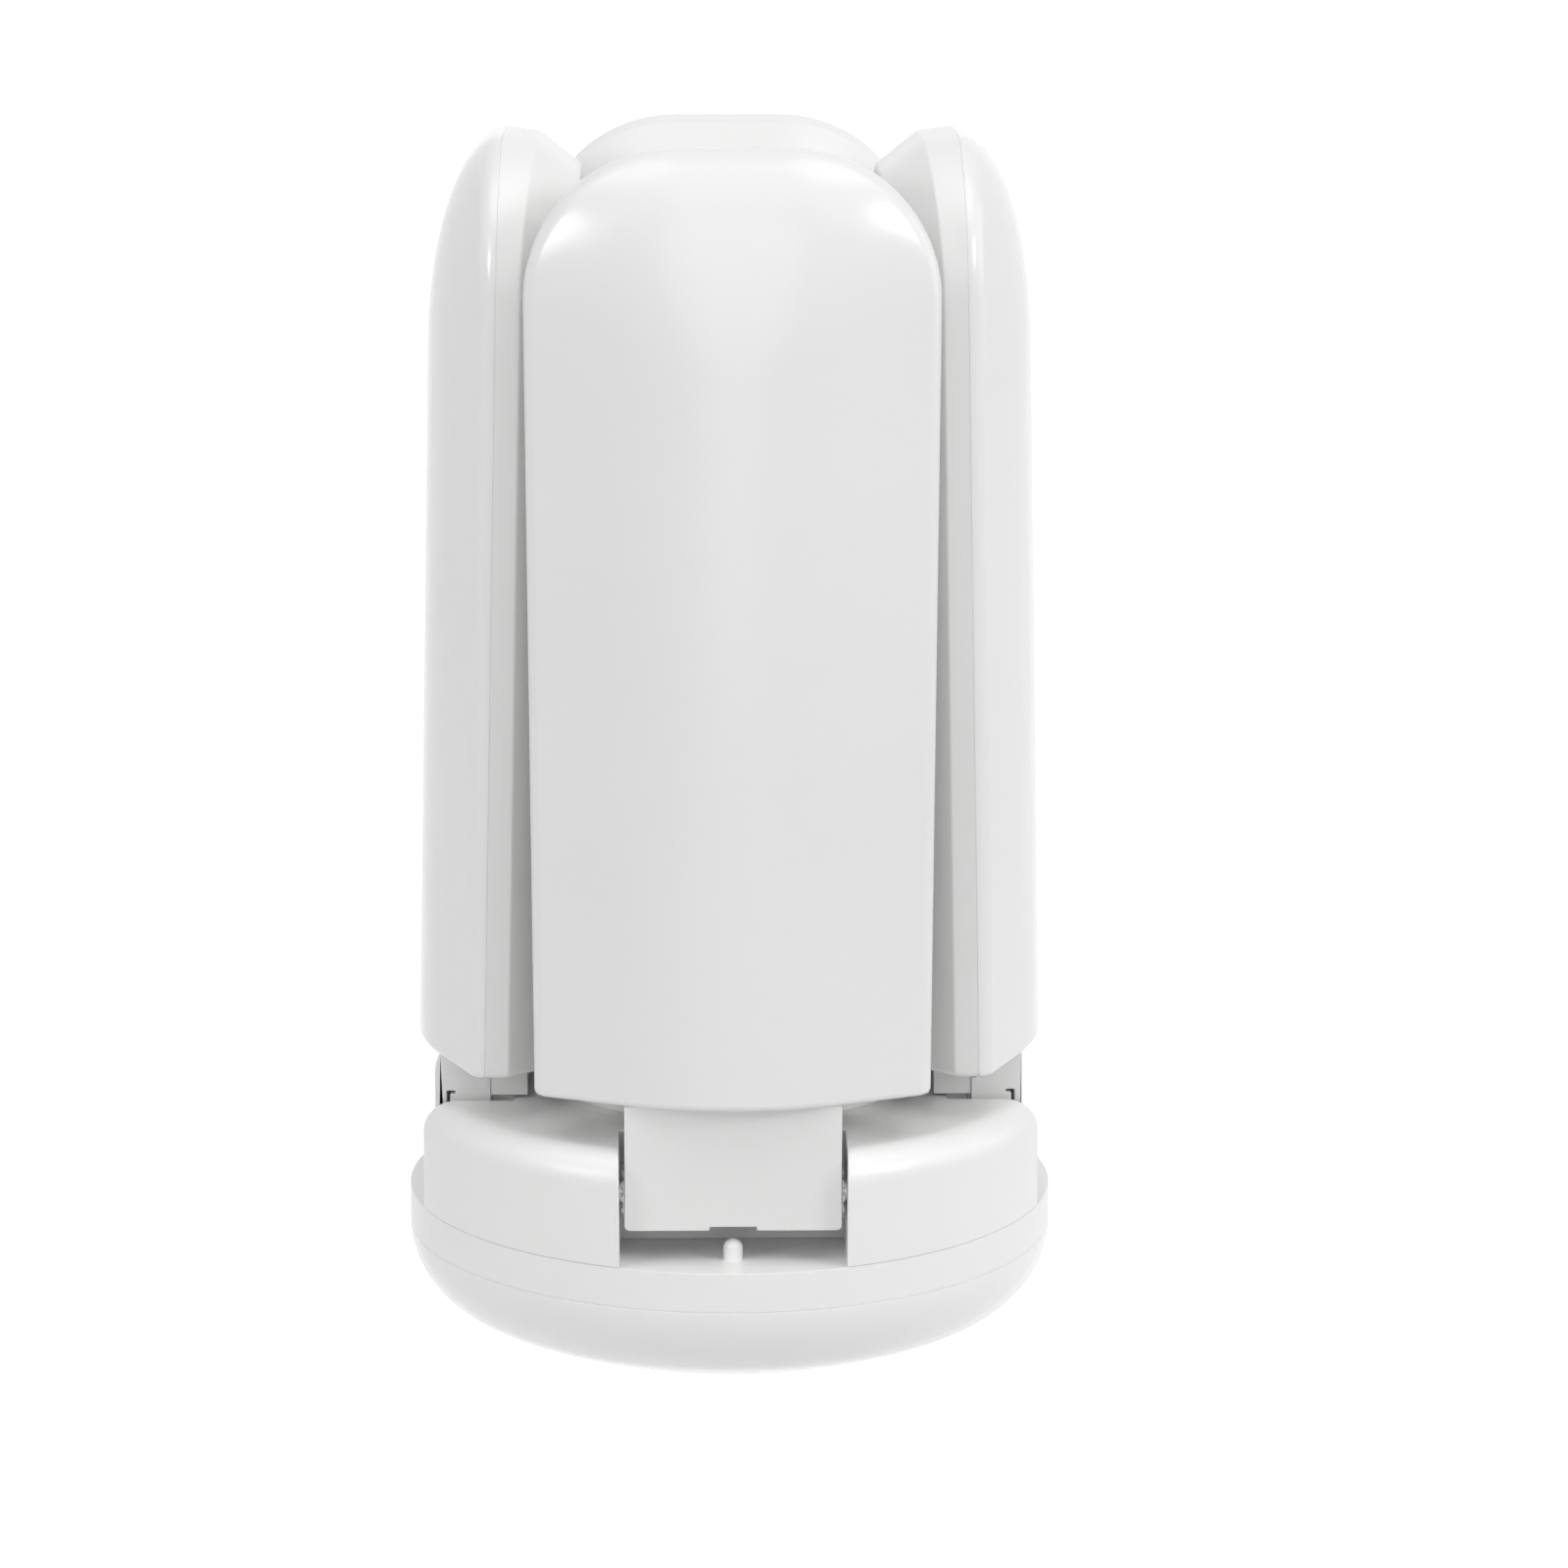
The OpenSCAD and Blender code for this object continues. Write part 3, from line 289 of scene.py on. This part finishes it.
def shell_line(reach, tip):
    band = BAND + tip * (BAND_TIP - BAND)
    slope = SLOPE + tip * (SLOPE_TIP - SLOPE)
    corners = rounded([(reach, -SEAM_ROUND), (reach - DRAFT, -band), (reach - slope, -BACK), (0, -BACK)],
                      [1.0, 1.4], 5)
    rim = [(reach - SEAM_ROUND * (1 - math.sin(math.radians(a))),
            -SEAM_ROUND * (1 - math.cos(math.radians(a)))) for a in (0, 30, 60)]
    return rim + corners


def shell_inner_line(reach, tip):
    band = BAND + tip * (BAND_TIP - BAND)
    slope = SLOPE + tip * (SLOPE_TIP - SLOPE)
    floor = -BACK + SHELL_WALL
    return [(reach - SHELL_WALL, 0), (reach - SHELL_WALL, -band + 0.6), (reach - slope - 1.6, floor),
            (0, floor)]


def leaf_rows(bm, outline, section, low):
    """One row of vertices for each outline point, along its section line to the spine."""
    rows = []
    for x, y, inset in outline:
        y = max(low, y)
        spine = Vector((0, max(low, min(y, SPINE_L))))
        out = Vector((x, y)) - spine
        line = offset_line(section(out.length, tipwards(y)), inset)
        way = out.normalized()
        rows.append([bm.verts.new((spine.x + way.x * r, spine.y + way.y * r, z)) for r, z in line])
    return rows


def bridge(bm, a, b, flip=False):
    for i in range(len(a) - 1):
        corners = [a[i], a[i + 1], b[i + 1], b[i]]
        bm.faces.new(corners[::-1] if flip else corners)


def skin(bm, rows, flip=False):
    for a, b in zip(rows, rows[1:]):
        bridge(bm, a, b, flip)


def in_leaf(k):
    """From a leaf's own frame, in millimetres, to the lamp's frame."""
    return (Matrix.Rotation(math.radians(90 * k), 4, "Z")
            @ Matrix.Translation((0, -SEAM_R, LEAF_Z - CAP_Z))
            @ Matrix.Rotation(math.pi / 2 - LEAN, 4, "X"))


def diffuser_form():
    bm = bmesh.new()
    outline = leaf_outline(rounded_end(END_ROUND))
    outer = leaf_rows(bm, outline, dome_line, 0)
    inner = leaf_rows(bm, [(x, y, 0) for x, y, _ in outline], dome_inner_line, 0)
    skin(bm, outer)
    skin(bm, inner, True)
    bridge(bm, [row[0] for row in outer], [row[0] for row in inner])
    for i in (0, -1):
        bridge(bm, outer[i], inner[i])
    return bm


def shell_form():
    bm = bmesh.new()
    outline = leaf_outline(rounded_end(END_ROUND))
    outer = leaf_rows(bm, outline, shell_line, 0)
    inside = leaf_outline([(END_WALL, 0)] * len(rounded_end(END_ROUND)))
    inner = leaf_rows(bm, inside, shell_inner_line, END_WALL)
    skin(bm, outer)
    skin(bm, inner, True)
    bridge(bm, [row[0] for row in outer], [row[0] for row in inner])
    for rows in (outer, inner):
        bm.faces.new(rows[0] + rows[-1][-2::-1])
    bm.faces.new([outer[0][0], outer[-1][0], inner[-1][0], inner[0][0]])
    return bm


def post_form(bm, radius, low, high, at):
    """An upright round post in the leaf's frame."""
    made = bmesh.ops.create_cone(bm, cap_ends=True, segments=32, radius1=radius, radius2=radius,
                                 depth=high - low)
    bmesh.ops.translate(bm, vec=(at[0], at[1], (low + high) / 2), verts=made["verts"])


def bore_form(bm, radius, x, z, low, high):
    """A round bar along the leaf, in the leaf's frame, to cut a hole with."""
    turned = Matrix.Translation((x, (low + high) / 2, z)) @ Matrix.Rotation(math.pi / 2, 4, "X")
    bmesh.ops.create_cone(bm, cap_ends=True, segments=24, radius1=radius, radius2=radius,
                          depth=high - low, matrix=turned)


def slot_form(bm, x, y, width, length, low, high, steps=8):
    """A bar across the leaf's back with round ends, to cut a slot with."""
    radius = width / 2
    outline = []
    for way in (1, -1):
        for i in range(steps + 1):
            a = math.radians(180 * i / steps) + (0 if way > 0 else math.pi)
            outline.append((x + radius * math.cos(a),
                            y + way * (length / 2 - radius) + radius * math.sin(a)))
    faces = [[bm.verts.new((px, py, z)) for px, py in outline] for z in (low, high)]
    for face in faces:
        bm.faces.new(face)
    bridge(bm, faces[0] + faces[0][:1], faces[1] + faces[1][:1])


def end_wall_form():
    """The part of the shell's lower end that closes the diffuser."""
    bm = bmesh.new()
    wide = HALF + FLARE
    half = wide - SHELL_WALL - DIFFUSER_LIP
    profile = [(half, -1), (-half, -1)]
    profile += [(half * i / 12, dome(half / wide * abs(i) / 12, 0) - WALL - DIFFUSER_GAP)
                for i in range(-12, 13)]
    faces = [[bm.verts.new((x, y, z)) for x, z in profile] for y in (0.1, END_WALL)]
    for face in faces:
        bm.faces.new(face)
    bridge(bm, faces[0] + faces[0][:1], faces[1] + faces[1][:1])
    return bm


def join(obj, other):
    """Adds the other object's mesh to obj and removes the other object."""
    bm = bmesh.new()
    for part in (obj, other):
        bm.from_mesh(part.data)
    bm.to_mesh(obj.data)
    bm.free()
    bpy.data.objects.remove(other)


def solid(bm, name, sharp=35.0):
    return new_object(name, finish_mesh(bm, name, sharp))


def cut(obj, cutter):
    """Takes the cutter's volume out of obj and removes the cutter."""
    modifier = obj.modifiers.new("cut", "BOOLEAN")
    modifier.operation = "DIFFERENCE"
    modifier.solver = "EXACT"
    modifier.object = cutter
    bpy.context.view_layer.update()
    shape = obj.evaluated_get(bpy.context.evaluated_depsgraph_get())
    mesh = bpy.data.meshes.new_from_object(shape)
    obj.modifiers.clear()
    old = obj.data
    obj.data = mesh
    bpy.data.meshes.remove(old)
    bpy.data.objects.remove(cutter)


# ---------- materials ----------


def material(name, colour, roughness, metallic=0.0):
    """A material with its shader and the tools to add detail to it."""
    mat = bpy.data.materials.new(name)
    mat.use_nodes = True
    shader = mat.node_tree.nodes["Principled BSDF"]
    shader.inputs["Base Color"].default_value = (*colour, 1)
    shader.inputs["Roughness"].default_value = roughness
    shader.inputs["Metallic"].default_value = metallic
    return mat, shader


def place(mat, stretch=(1, 1, 1)):
    """Coordinates of the piece itself, in metres."""
    nodes, links = mat.node_tree.nodes, mat.node_tree.links
    coordinates = nodes.new("ShaderNodeTexCoord")
    mapping = nodes.new("ShaderNodeMapping")
    mapping.inputs["Scale"].default_value = stretch
    links.new(coordinates.outputs["Object"], mapping.inputs["Vector"])
    return mapping.outputs["Vector"]


def noise(mat, vector, scale, detail=3.0, rough=0.5):
    node = mat.node_tree.nodes.new("ShaderNodeTexNoise")
    node.inputs["Scale"].default_value = scale
    node.inputs["Detail"].default_value = detail
    node.inputs["Roughness"].default_value = rough
    mat.node_tree.links.new(vector, node.inputs["Vector"])
    return node.outputs["Fac"]


def ramp(mat, value, low, high, to_low=0.0, to_high=1.0):
    node = mat.node_tree.nodes.new("ShaderNodeMapRange")
    for key, number in (("From Min", low), ("From Max", high), ("To Min", to_low), ("To Max", to_high)):
        node.inputs[key].default_value = number
    mat.node_tree.links.new(value, node.inputs["Value"])
    return node.outputs["Result"]


def mixed(mat, factor, first, second):
    node = mat.node_tree.nodes.new("ShaderNodeMix")
    node.data_type = "RGBA"
    mat.node_tree.links.new(factor, node.inputs["Factor"])
    for key, value in (("A", first), ("B", second)):
        socket = next(s for s in node.inputs if s.name == key and s.type == "RGBA")
        if isinstance(value, tuple):
            socket.default_value = (*value, 1)
        else:
            mat.node_tree.links.new(value, socket)
    return next(s for s in node.outputs if s.type == "RGBA")


def bump(mat, shader, height, strength, distance, under=None):
    node = mat.node_tree.nodes.new("ShaderNodeBump")
    node.inputs["Strength"].default_value = strength
    node.inputs["Distance"].default_value = distance
    mat.node_tree.links.new(height, node.inputs["Height"])
    if under is not None:
        mat.node_tree.links.new(under, node.inputs["Normal"])
    mat.node_tree.links.new(node.outputs["Normal"], shader.inputs["Normal"])
    return node.outputs["Normal"]


def specks(mat, vector, scale, size, share):
    """1 on rare small specks, 0 elsewhere."""
    nodes, links = mat.node_tree.nodes, mat.node_tree.links
    cells = nodes.new("ShaderNodeTexVoronoi")
    cells.inputs["Scale"].default_value = scale
    links.new(vector, cells.inputs["Vector"])
    dot = ramp(mat, cells.outputs["Distance"], size, size * 0.6)
    split = nodes.new("ShaderNodeSeparateColor")
    links.new(cells.outputs["Color"], split.inputs["Color"])
    rare = ramp(mat, split.outputs["Red"], share, share * 0.98)
    both = nodes.new("ShaderNodeMath")
    both.operation = "MULTIPLY"
    links.new(dot, both.inputs[0])
    links.new(rare, both.inputs[1])
    return both.outputs["Value"]


def moulded(name, colour, roughness, grain=1.0, speck=0.25):
    """Moulded plastic: faint clouding, a fine moulded grain and a few specks."""
    mat, shader = material(name, colour, roughness)
    vector = place(mat)
    cloud = noise(mat, vector, 26, 1.5, 0.4)
    darker = tuple(c * 0.97 for c in colour)
    tone = mixed(mat, ramp(mat, cloud, 0.1, 0.9), darker, colour)
    dots = specks(mat, vector, 95, 0.022, 0.08)
    tone = mixed(mat, ramp(mat, dots, 0, 1, 0, speck), tone, tuple(c * 0.35 for c in colour))
    mat.node_tree.links.new(tone, shader.inputs["Base Color"])
    fine = noise(mat, vector, 1500, 2, 0.6)
    mat.node_tree.links.new(ramp(mat, cloud, 0.1, 0.9, roughness - 0.03, roughness + 0.03),
                            shader.inputs["Roughness"])
    wave = noise(mat, vector, 60, 2, 0.4)
    soft = bump(mat, shader, wave, 0.12 * grain, 0.0002)
    bump(mat, shader, fine, 0.10 * grain, 0.00004, soft)
    return mat


def metal(name, colour, roughness, stretch, scratch=0.3):
    """Metal with fine drawn lines along one direction and a little tarnish."""
    mat, shader = material(name, colour, roughness, 1.0)
    lines = noise(mat, place(mat, stretch), 900, 3, 0.6)
    cloud = noise(mat, place(mat), 120, 4, 0.6)
    tone = mixed(mat, ramp(mat, cloud, 0.4, 0.75), colour, tuple(c * 0.82 for c in colour))
    mat.node_tree.links.new(tone, shader.inputs["Base Color"])
    mat.node_tree.links.new(ramp(mat, lines, 0.2, 0.8, roughness - 0.03, roughness + 0.03),
                            shader.inputs["Roughness"])
    bump(mat, shader, lines, scratch, 0.00003)
    return mat


def board(name, colour, trace):
    """A circuit board under solder mask, with faint traces below it."""
    mat, shader = material(name, colour, 0.42)
    vector = place(mat)
    nodes, links = mat.node_tree.nodes, mat.node_tree.links
    bricks = nodes.new("ShaderNodeTexBrick")
    bricks.inputs["Scale"].default_value = 180
    bricks.inputs["Mortar Size"].default_value = 0.03
    bricks.inputs["Color1"].default_value = (*colour, 1)
    bricks.inputs["Color2"].default_value = (*(c * 0.97 for c in colour), 1)
    bricks.inputs["Mortar"].default_value = (*trace, 1)
    links.new(vector, bricks.inputs["Vector"])
    fade = ramp(mat, noise(mat, vector, 300, 3), 0.3, 0.7, 0.1, 0.5)
    tone = mixed(mat, fade, bricks.outputs["Color"], colour)
    links.new(tone, shader.inputs["Base Color"])
    links.new(ramp(mat, noise(mat, vector, 700, 2), 0.3, 0.7, 0.36, 0.5), shader.inputs["Roughness"])
    bump(mat, shader, bricks.outputs["Fac"], 0.2, 0.00003)
    return mat


# The housing's and the lens's colours below are painted light: they are set lighter than the shells' and
# the diffusers' to stand in for light that the lamps bring too little of to the ring, the housing's blocks
# and the lens.
WHITE = (0.83, 0.83, 0.825)
HOUSING_WHITE_PAINTED_LIGHT = (0.885, 0.885, 0.88)
ARM_WHITE = (0.82, 0.82, 0.815)
MILK = (0.83, 0.83, 0.83)
LENS_MILK_PAINTED_LIGHT = (0.875, 0.875, 0.875)
shell_white = moulded("white_moulding", WHITE, 0.31)
# painted light: the housing's white is lighter than the shells', standing in for light on the ring and the
# blocks
disc_white_painted_light = moulded("white_housing_painted_light", HOUSING_WHITE_PAINTED_LIGHT, 0.31)
arm_white = moulded("white_arm", ARM_WHITE, 0.34, 1.3)
milky = moulded("milky_diffuser", MILK, 0.18, 0.4)
# painted light: the lens's milk is lighter than the diffusers', standing in for light on the lens
lens_milk_painted_light = moulded("milky_lens_painted_light", LENS_MILK_PAINTED_LIGHT, 0.22, 0.4)
neck_white = moulded("white_neck", (0.80, 0.80, 0.79), 0.45, 1.2)
nickel = metal("nickel_plate", (0.72, 0.70, 0.67), 0.23, (1, 1, 12))
contact_metal = metal("contact_metal", (0.66, 0.62, 0.55), 0.32, (1, 1, 1))
steel = metal("screw_steel", (0.55, 0.55, 0.57), 0.33, (1, 1, 6), 0.4)
aluminium = metal("sink_aluminium", (0.74, 0.75, 0.76), 0.36, (12, 1, 1), 0.4)
led_board = board("white_light_board", (0.78, 0.80, 0.78), (0.66, 0.69, 0.66))
green_board = board("green_board", (0.03, 0.19, 0.08), (0.06, 0.30, 0.13))
phosphor = moulded("chip_phosphor", (0.86, 0.66, 0.12), 0.35, 2.0, 0.1)
black = moulded("black_glass", (0.02, 0.02, 0.022), 0.24, 1.5, 0)
chip_black = moulded("black_package", (0.03, 0.03, 0.032), 0.5, 2.5, 0)
winding = moulded("transformer_tape", (0.75, 0.55, 0.08), 0.4, 2.0, 0.3)
sleeve = moulded("capacitor_sleeve", (0.03, 0.05, 0.16), 0.35, 1.5, 0)
wire_white = moulded("wire_sleeving", (0.76, 0.76, 0.73), 0.5, 2.0, 0.2)
wire_red = moulded("wire_lead", (0.45, 0.05, 0.05), 0.5, 2.0, 0.2)

LOOKS = {
    "heat_sink": aluminium, "central_led_board": led_board, "central_leds": phosphor,
    "housing_screws": steel, "board_screws": steel, "neck_screws": steel, "driver_board": green_board,
    "transformer": winding, "capacitors": sleeve, "driver_chips": chip_black, "cap_wires": wire_red,
    "central_wire": wire_white, "leaf_feed_wires": wire_white,
    "leaf_board": led_board, "leaf_leds": phosphor, "hinge_tube": steel, "leaf_screws": steel,
    "leaf_wire": wire_white,
    "central_lens": lens_milk_painted_light, "base_ring": disc_white_painted_light, "upper_housing": disc_white_painted_light, "neck": neck_white,
    "screw_shell": nickel, "cap_insulator": black, "centre_contact": contact_metal,
    "leaf_arm": arm_white, "leaf_shell": shell_white, "diffuser": milky,
}
for name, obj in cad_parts.items():
    kind = next((name[:-len(s) - 1] for s in SIDES if name.endswith("_" + s)), name)
    obj.data.materials.clear()
    obj.data.materials.append(LOOKS[kind])


def put(obj, mat, body, slot, *nodes):
    """Gives a piece its material and body, and hides the CAD nodes that it stands for. The slot is not
    used.
    """
    obj.data.materials.clear()
    obj.data.materials.append(mat)
    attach(obj, body)
    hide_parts(*nodes)


# ---------- the leaves ----------

SCREW_Y = (34, 106)
POST_R = 2.8
BOARD_Z = -BAND + 0.3
FLOOR_IN = -BACK + SHELL_WALL
ROOT_SCREW_X = 11
ROOT_SCREW_R = 1.05
ROOT_HOLE_R = 1.6
ROOT_Z = 3.4
SLOT_N, SLOT_W, SLOT_L, SLOT_PITCH = 6, 1.2, 12, 5


def leaf_pieces():
    """The front leaf's diffuser and shell, in the leaf's own frame."""
    diffuser = solid(diffuser_form(), "diffuser_form", 40)
    shell = solid(shell_form(), "shell_form", 30)
    wall = solid(end_wall_form(), "end_wall", 30)
    bores = bmesh.new()
    for x, radius in ((0, ROOT_HOLE_R), (-ROOT_SCREW_X, ROOT_SCREW_R), (ROOT_SCREW_X, ROOT_SCREW_R)):
        bore_form(bores, radius, x, ROOT_Z, -1, END_WALL + 1)
    cut(wall, solid(bores, "bores"))
    posts = bmesh.new()
    for y in SCREW_Y:
        post_form(posts, POST_R, FLOOR_IN - 0.5, BOARD_Z, (0, y))
    holes = bmesh.new()
    for i in range(SLOT_N):
        x = (i - (SLOT_N - 1) / 2) * SLOT_PITCH
        slot_form(holes, x, LEAF_L - SLOPE_TIP - 6 - SLOT_L / 2, SLOT_W, SLOT_L, -BACK - 1, FLOOR_IN + 1)
    cut(shell, solid(holes, "holes"))
    join(shell, wall)
    join(shell, solid(posts, "posts"))
    return diffuser, shell


diffuser_0, shell_0 = leaf_pieces()
for k, side in enumerate(SIDES):
    to_lamp = Matrix.Scale(MM, 4) @ in_leaf(k) @ Matrix.Scale(1 / MM, 4)
    for first, kind, mat, slot in ((diffuser_0, "diffuser", milky, "diffuser"),
                                   (shell_0, "leaf_shell", shell_white, "white_plastic")):
        mesh = first.data.copy()
        mesh.transform(to_lamp)
        piece = new_object(f"{kind}_form_{side}", mesh)
        even_normals(piece)
        put(piece, mat, "leaf_" + side, slot, f"{kind}_{side}")
    arm = refined("leaf_arm_" + side, "leaf_arm_form_" + side, 0.2)
    put(arm, arm_white, "leaf_" + side, "white_plastic", "leaf_arm_" + side)
for obj in (diffuser_0, shell_0):
    bpy.data.objects.remove(obj)

# ---------- the round light ----------


def lens_line(r, depth, shoulder, steps):
    """The shoulder's arc, then the wide dome's arc down to the lowest point."""
    dome_r = ((r - shoulder) ** 2 + depth * depth - shoulder * shoulder) / (2 * (depth - shoulder))
    split = math.atan2(r - shoulder, dome_r - depth)
    line = []
    for i in range(steps + 1):
        a = (math.pi / 2 - split) * i / steps
        line.append((r - shoulder + shoulder * math.cos(a), RING_Z - shoulder * math.sin(a)))
    for i in range(steps - 1, -1, -1):
        a = split * i / steps
        line.append((dome_r * math.sin(a), RING_Z - depth + dome_r * (1 - math.cos(a))))
    return line


def lens_form():
    outer = lens_line(DISC_R, LENS_DEPTH, LENS_SHOULDER_R, 40)
    lip_r = DISC_R - LENS_LIP_IN
    inner = lens_line(lip_r - LENS_LIP_W, LENS_DEPTH - LENS_WALL, LENS_SHOULDER_R - LENS_WALL, 24)
    edge = [(DISC_R - SEAM_ROUND, RING_Z)] + [
        (DISC_R - SEAM_ROUND * (1 - math.cos(math.radians(a))),
         RING_Z - SEAM_ROUND * (1 - math.sin(math.radians(a)))) for a in (60, 30, 0)]
    line = ([(lip_r, RING_Z + LENS_LIP_H), (lip_r, RING_Z)] + edge + outer[1:] + inner[::-1]
            + [(lip_r - LENS_LIP_W, RING_Z + LENS_LIP_H)])
    return lathe([(r, z - CAP_Z) for r, z in line], 192, "lens_form", 50)


lens = new_object("central_lens_form", lens_form())
put(lens, lens_milk_painted_light, "hub", "diffuser", "central_lens")
ring = refined("base_ring", "base_ring_form", 0.18)
put(ring, disc_white_painted_light, "hub", "white_plastic", "base_ring")
housing = refined("upper_housing", "upper_housing_form", 0.25)
put(housing, disc_white_painted_light, "hub", "white_plastic", "upper_housing")
neck = refined("neck", "neck_form", 0.3)
put(neck, neck_white, "hub", "white_plastic", "neck")

# ---------- the screw cap ----------

COLLAR_R, COLLAR_L, CAP_BORE_R = 13.2, 4.0, 11.8
THREAD_R, THREAD_DEPTH, PITCH = 13.1, 1.05, 3.63
CAP_L, CAP_END_L = 27, 7.5
THREAD_LOW, THREAD_TOP = COLLAR_L - 0.5, CAP_L - CAP_END_L


def cap_form():
    """The collar, the rolled thread and the rolled-in top edge, as one closed skin."""
    bm = bmesh.new()
    turn, rows = 128, 190
    rings = []

    def ring_of(radius_at, z):
        ring = []
        for i in range(turn):
            a = 2 * math.pi * i / turn
            r = radius_at(a)
            ring.append(bm.verts.new((r * math.cos(a), r * math.sin(a), z)))
        rings.append(ring)

    for r, z in ((CAP_BORE_R, 0), (COLLAR_R - 0.15, 0), (COLLAR_R, 0.15), (COLLAR_R, COLLAR_L - 0.6),
                 (COLLAR_R - 0.1, COLLAR_L - 0.2)):
        ring_of(lambda _, r=r: r, z)
    for j in range(rows + 1):
        z = COLLAR_L + (THREAD_TOP - COLLAR_L) * j / rows
        fade = max(0, min(1, (z - THREAD_LOW) / 2, (THREAD_TOP - z) / 1.5))

        def wave(a, z=z, fade=fade):
            return (THREAD_R - THREAD_DEPTH / 2 - 0.1 * (1 - fade)
                    + THREAD_DEPTH / 2 * fade * math.cos(2 * math.pi * z / PITCH - a))
        ring_of(wave, z)
    top = THREAD_TOP
    for r, z in ((THREAD_R - THREAD_DEPTH + 0.1, top + 0.35),
                 (THREAD_R - THREAD_DEPTH - 0.3, top + 0.6),
                 (CAP_BORE_R - 1.3, top + 0.6), (CAP_BORE_R - 1.6, top + 0.3),
                 (CAP_BORE_R - 1.6, top - 0.2), (CAP_BORE_R, top - 0.2)):
        ring_of(lambda _, r=r: r, z)
    for a, b in zip(rings, rings[1:] + rings[:1]):
        for i in range(turn):
            bm.faces.new([a[i], a[(i + 1) % turn], b[(i + 1) % turn], b[i]])
    return finish_mesh(bm, "cap_form", 50)


cap = new_object("screw_shell_form", cap_form())
put(cap, nickel, "hub", "nickel", "screw_shell")
insulator = refined("cap_insulator", "cap_insulator_form", 0.15)
put(insulator, black, "hub", "insulator", "cap_insulator")
contact = refined("centre_contact", "centre_contact_form", 0.15)
put(contact, contact_metal, "hub", "nickel", "centre_contact")

# ---------- floor, backdrop and light ----------


def seen_ray(nodes, links):
    """1 for a ray from the camera, a mirror or a clear surface, 0 for the light that a surface gathers."""
    path = nodes.new("ShaderNodeLightPath")
    value = path.outputs["Is Camera Ray"]
    for name in ("Is Glossy Ray", "Is Transmission Ray"):
        either = nodes.new("ShaderNodeMath")
        either.operation = "MAXIMUM"
        links.new(value, either.inputs[0])
        links.new(path.outputs[name], either.inputs[1])
        value = either.outputs["Value"]
    return value


FLOOR_BELOW = 0.30  # metres from the lens's lowest point to the floor


def stage_material():
    """A pale matt floor. What is seen of it is lifted to white, and the object's shadow stays."""
    mat, shader = material("stage_white", (0.80, 0.80, 0.80), 0.9)
    nodes, links = mat.node_tree.nodes, mat.node_tree.links
    lift = nodes.new("ShaderNodeMath")
    lift.operation = "MULTIPLY"
    lift.inputs[1].default_value = 0.62
    links.new(seen_ray(nodes, links), lift.inputs[0])
    shader.inputs["Emission Color"].default_value = (1, 1, 1, 1)
    links.new(lift.outputs["Value"], shader.inputs["Emission Strength"])
    return mat


def stage():
    bm = bmesh.new()
    width, near, far, height, round_r = 3.0, -2.5, 1.6, 2.2, 0.6
    low = -CAP_Z * MM - FLOOR_BELOW
    line = [(near, low), (far - round_r, low)]
    line += [(far - round_r + round_r * math.sin(a), low + round_r * (1 - math.cos(a)))
             for a in (math.radians(90 * i / 12) for i in range(1, 13))]
    line.append((far, low + height))
    rows = [[bm.verts.new((x, y, z)) for y, z in line] for x in (-width, width)]
    bridge(bm, rows[0], rows[1])
    mesh = bpy.data.meshes.new("stage")
    for face in bm.faces:
        face.smooth = True
    bm.to_mesh(mesh)
    bm.free()
    obj = new_object("stage", mesh)
    obj.data.materials.append(stage_material())


stage()


AIM = Vector((0, 0, -0.02))
LAMPS = (  # name, azimuth, elevation, distance, size, power
    ("key_right", 57, 25, 1.3, 0.38, 3.6),
    ("key_left", 305, 20, 1.3, 0.38, 2.7),
    ("wide_right", 60, 40, 1.6, 1.6, 4.41),
    ("wide_left", 300, 40, 1.6, 1.6, 4.2),
    ("front", 0, 15, 1.5, 1.2, 3.36),
    ("front_high", 0, 60, 1.5, 1.0, 1.26),
    ("front_low", 0, -20, 1.5, 1.2, 0.73),
    ("side_right", 95, 15, 1.5, 1.0, 2.94),
    ("side_left", 265, 15, 1.5, 1.0, 0.63),
    ("top_right", 60, 65, 1.5, 1.0, 4.09),
    ("top_left", 300, 65, 1.5, 1.0, 3.46),
    ("back", 180, 12, 1.5, 1.2, 2.5),
)


def softbox(name, azimuth, elevation, distance, size, power):
    """A round lamp aimed at the object; azimuth 0 is in front of it and 90 to its right."""
    turn, rise = math.radians(azimuth), math.radians(elevation)
    way = Vector((math.sin(turn) * math.cos(rise), -math.cos(turn) * math.cos(rise), math.sin(rise)))
    data = bpy.data.lights.new(name, "AREA")
    data.shape = "DISK"
    data.size = size
    data.energy = power
    obj = bpy.data.objects.new(name, data)
    obj.location = AIM + way * distance
    obj.rotation_euler = (-way).to_track_quat("-Z", "Y").to_euler()
    scene.collection.objects.link(obj)
    return obj


for row in LAMPS:
    lamp = softbox(*row)
    # the lamp behind the object would blow out the leaf tips if it showed in their gloss
    lamp.visible_glossy = lamp.name != "back"

world = bpy.data.worlds.new("world")
scene.world = world
world.use_nodes = True
background = world.node_tree.nodes["Background"]
background.inputs["Color"].default_value = (1, 1, 1, 1)
level = world.node_tree.nodes.new("ShaderNodeMapRange")
level.inputs["To Min"].default_value = 0.16
level.inputs["To Max"].default_value = 1.0
world.node_tree.links.new(seen_ray(world.node_tree.nodes, world.node_tree.links), level.inputs["Value"])
world.node_tree.links.new(level.outputs["Result"], background.inputs["Strength"])

scene.view_settings.view_transform = "Standard"
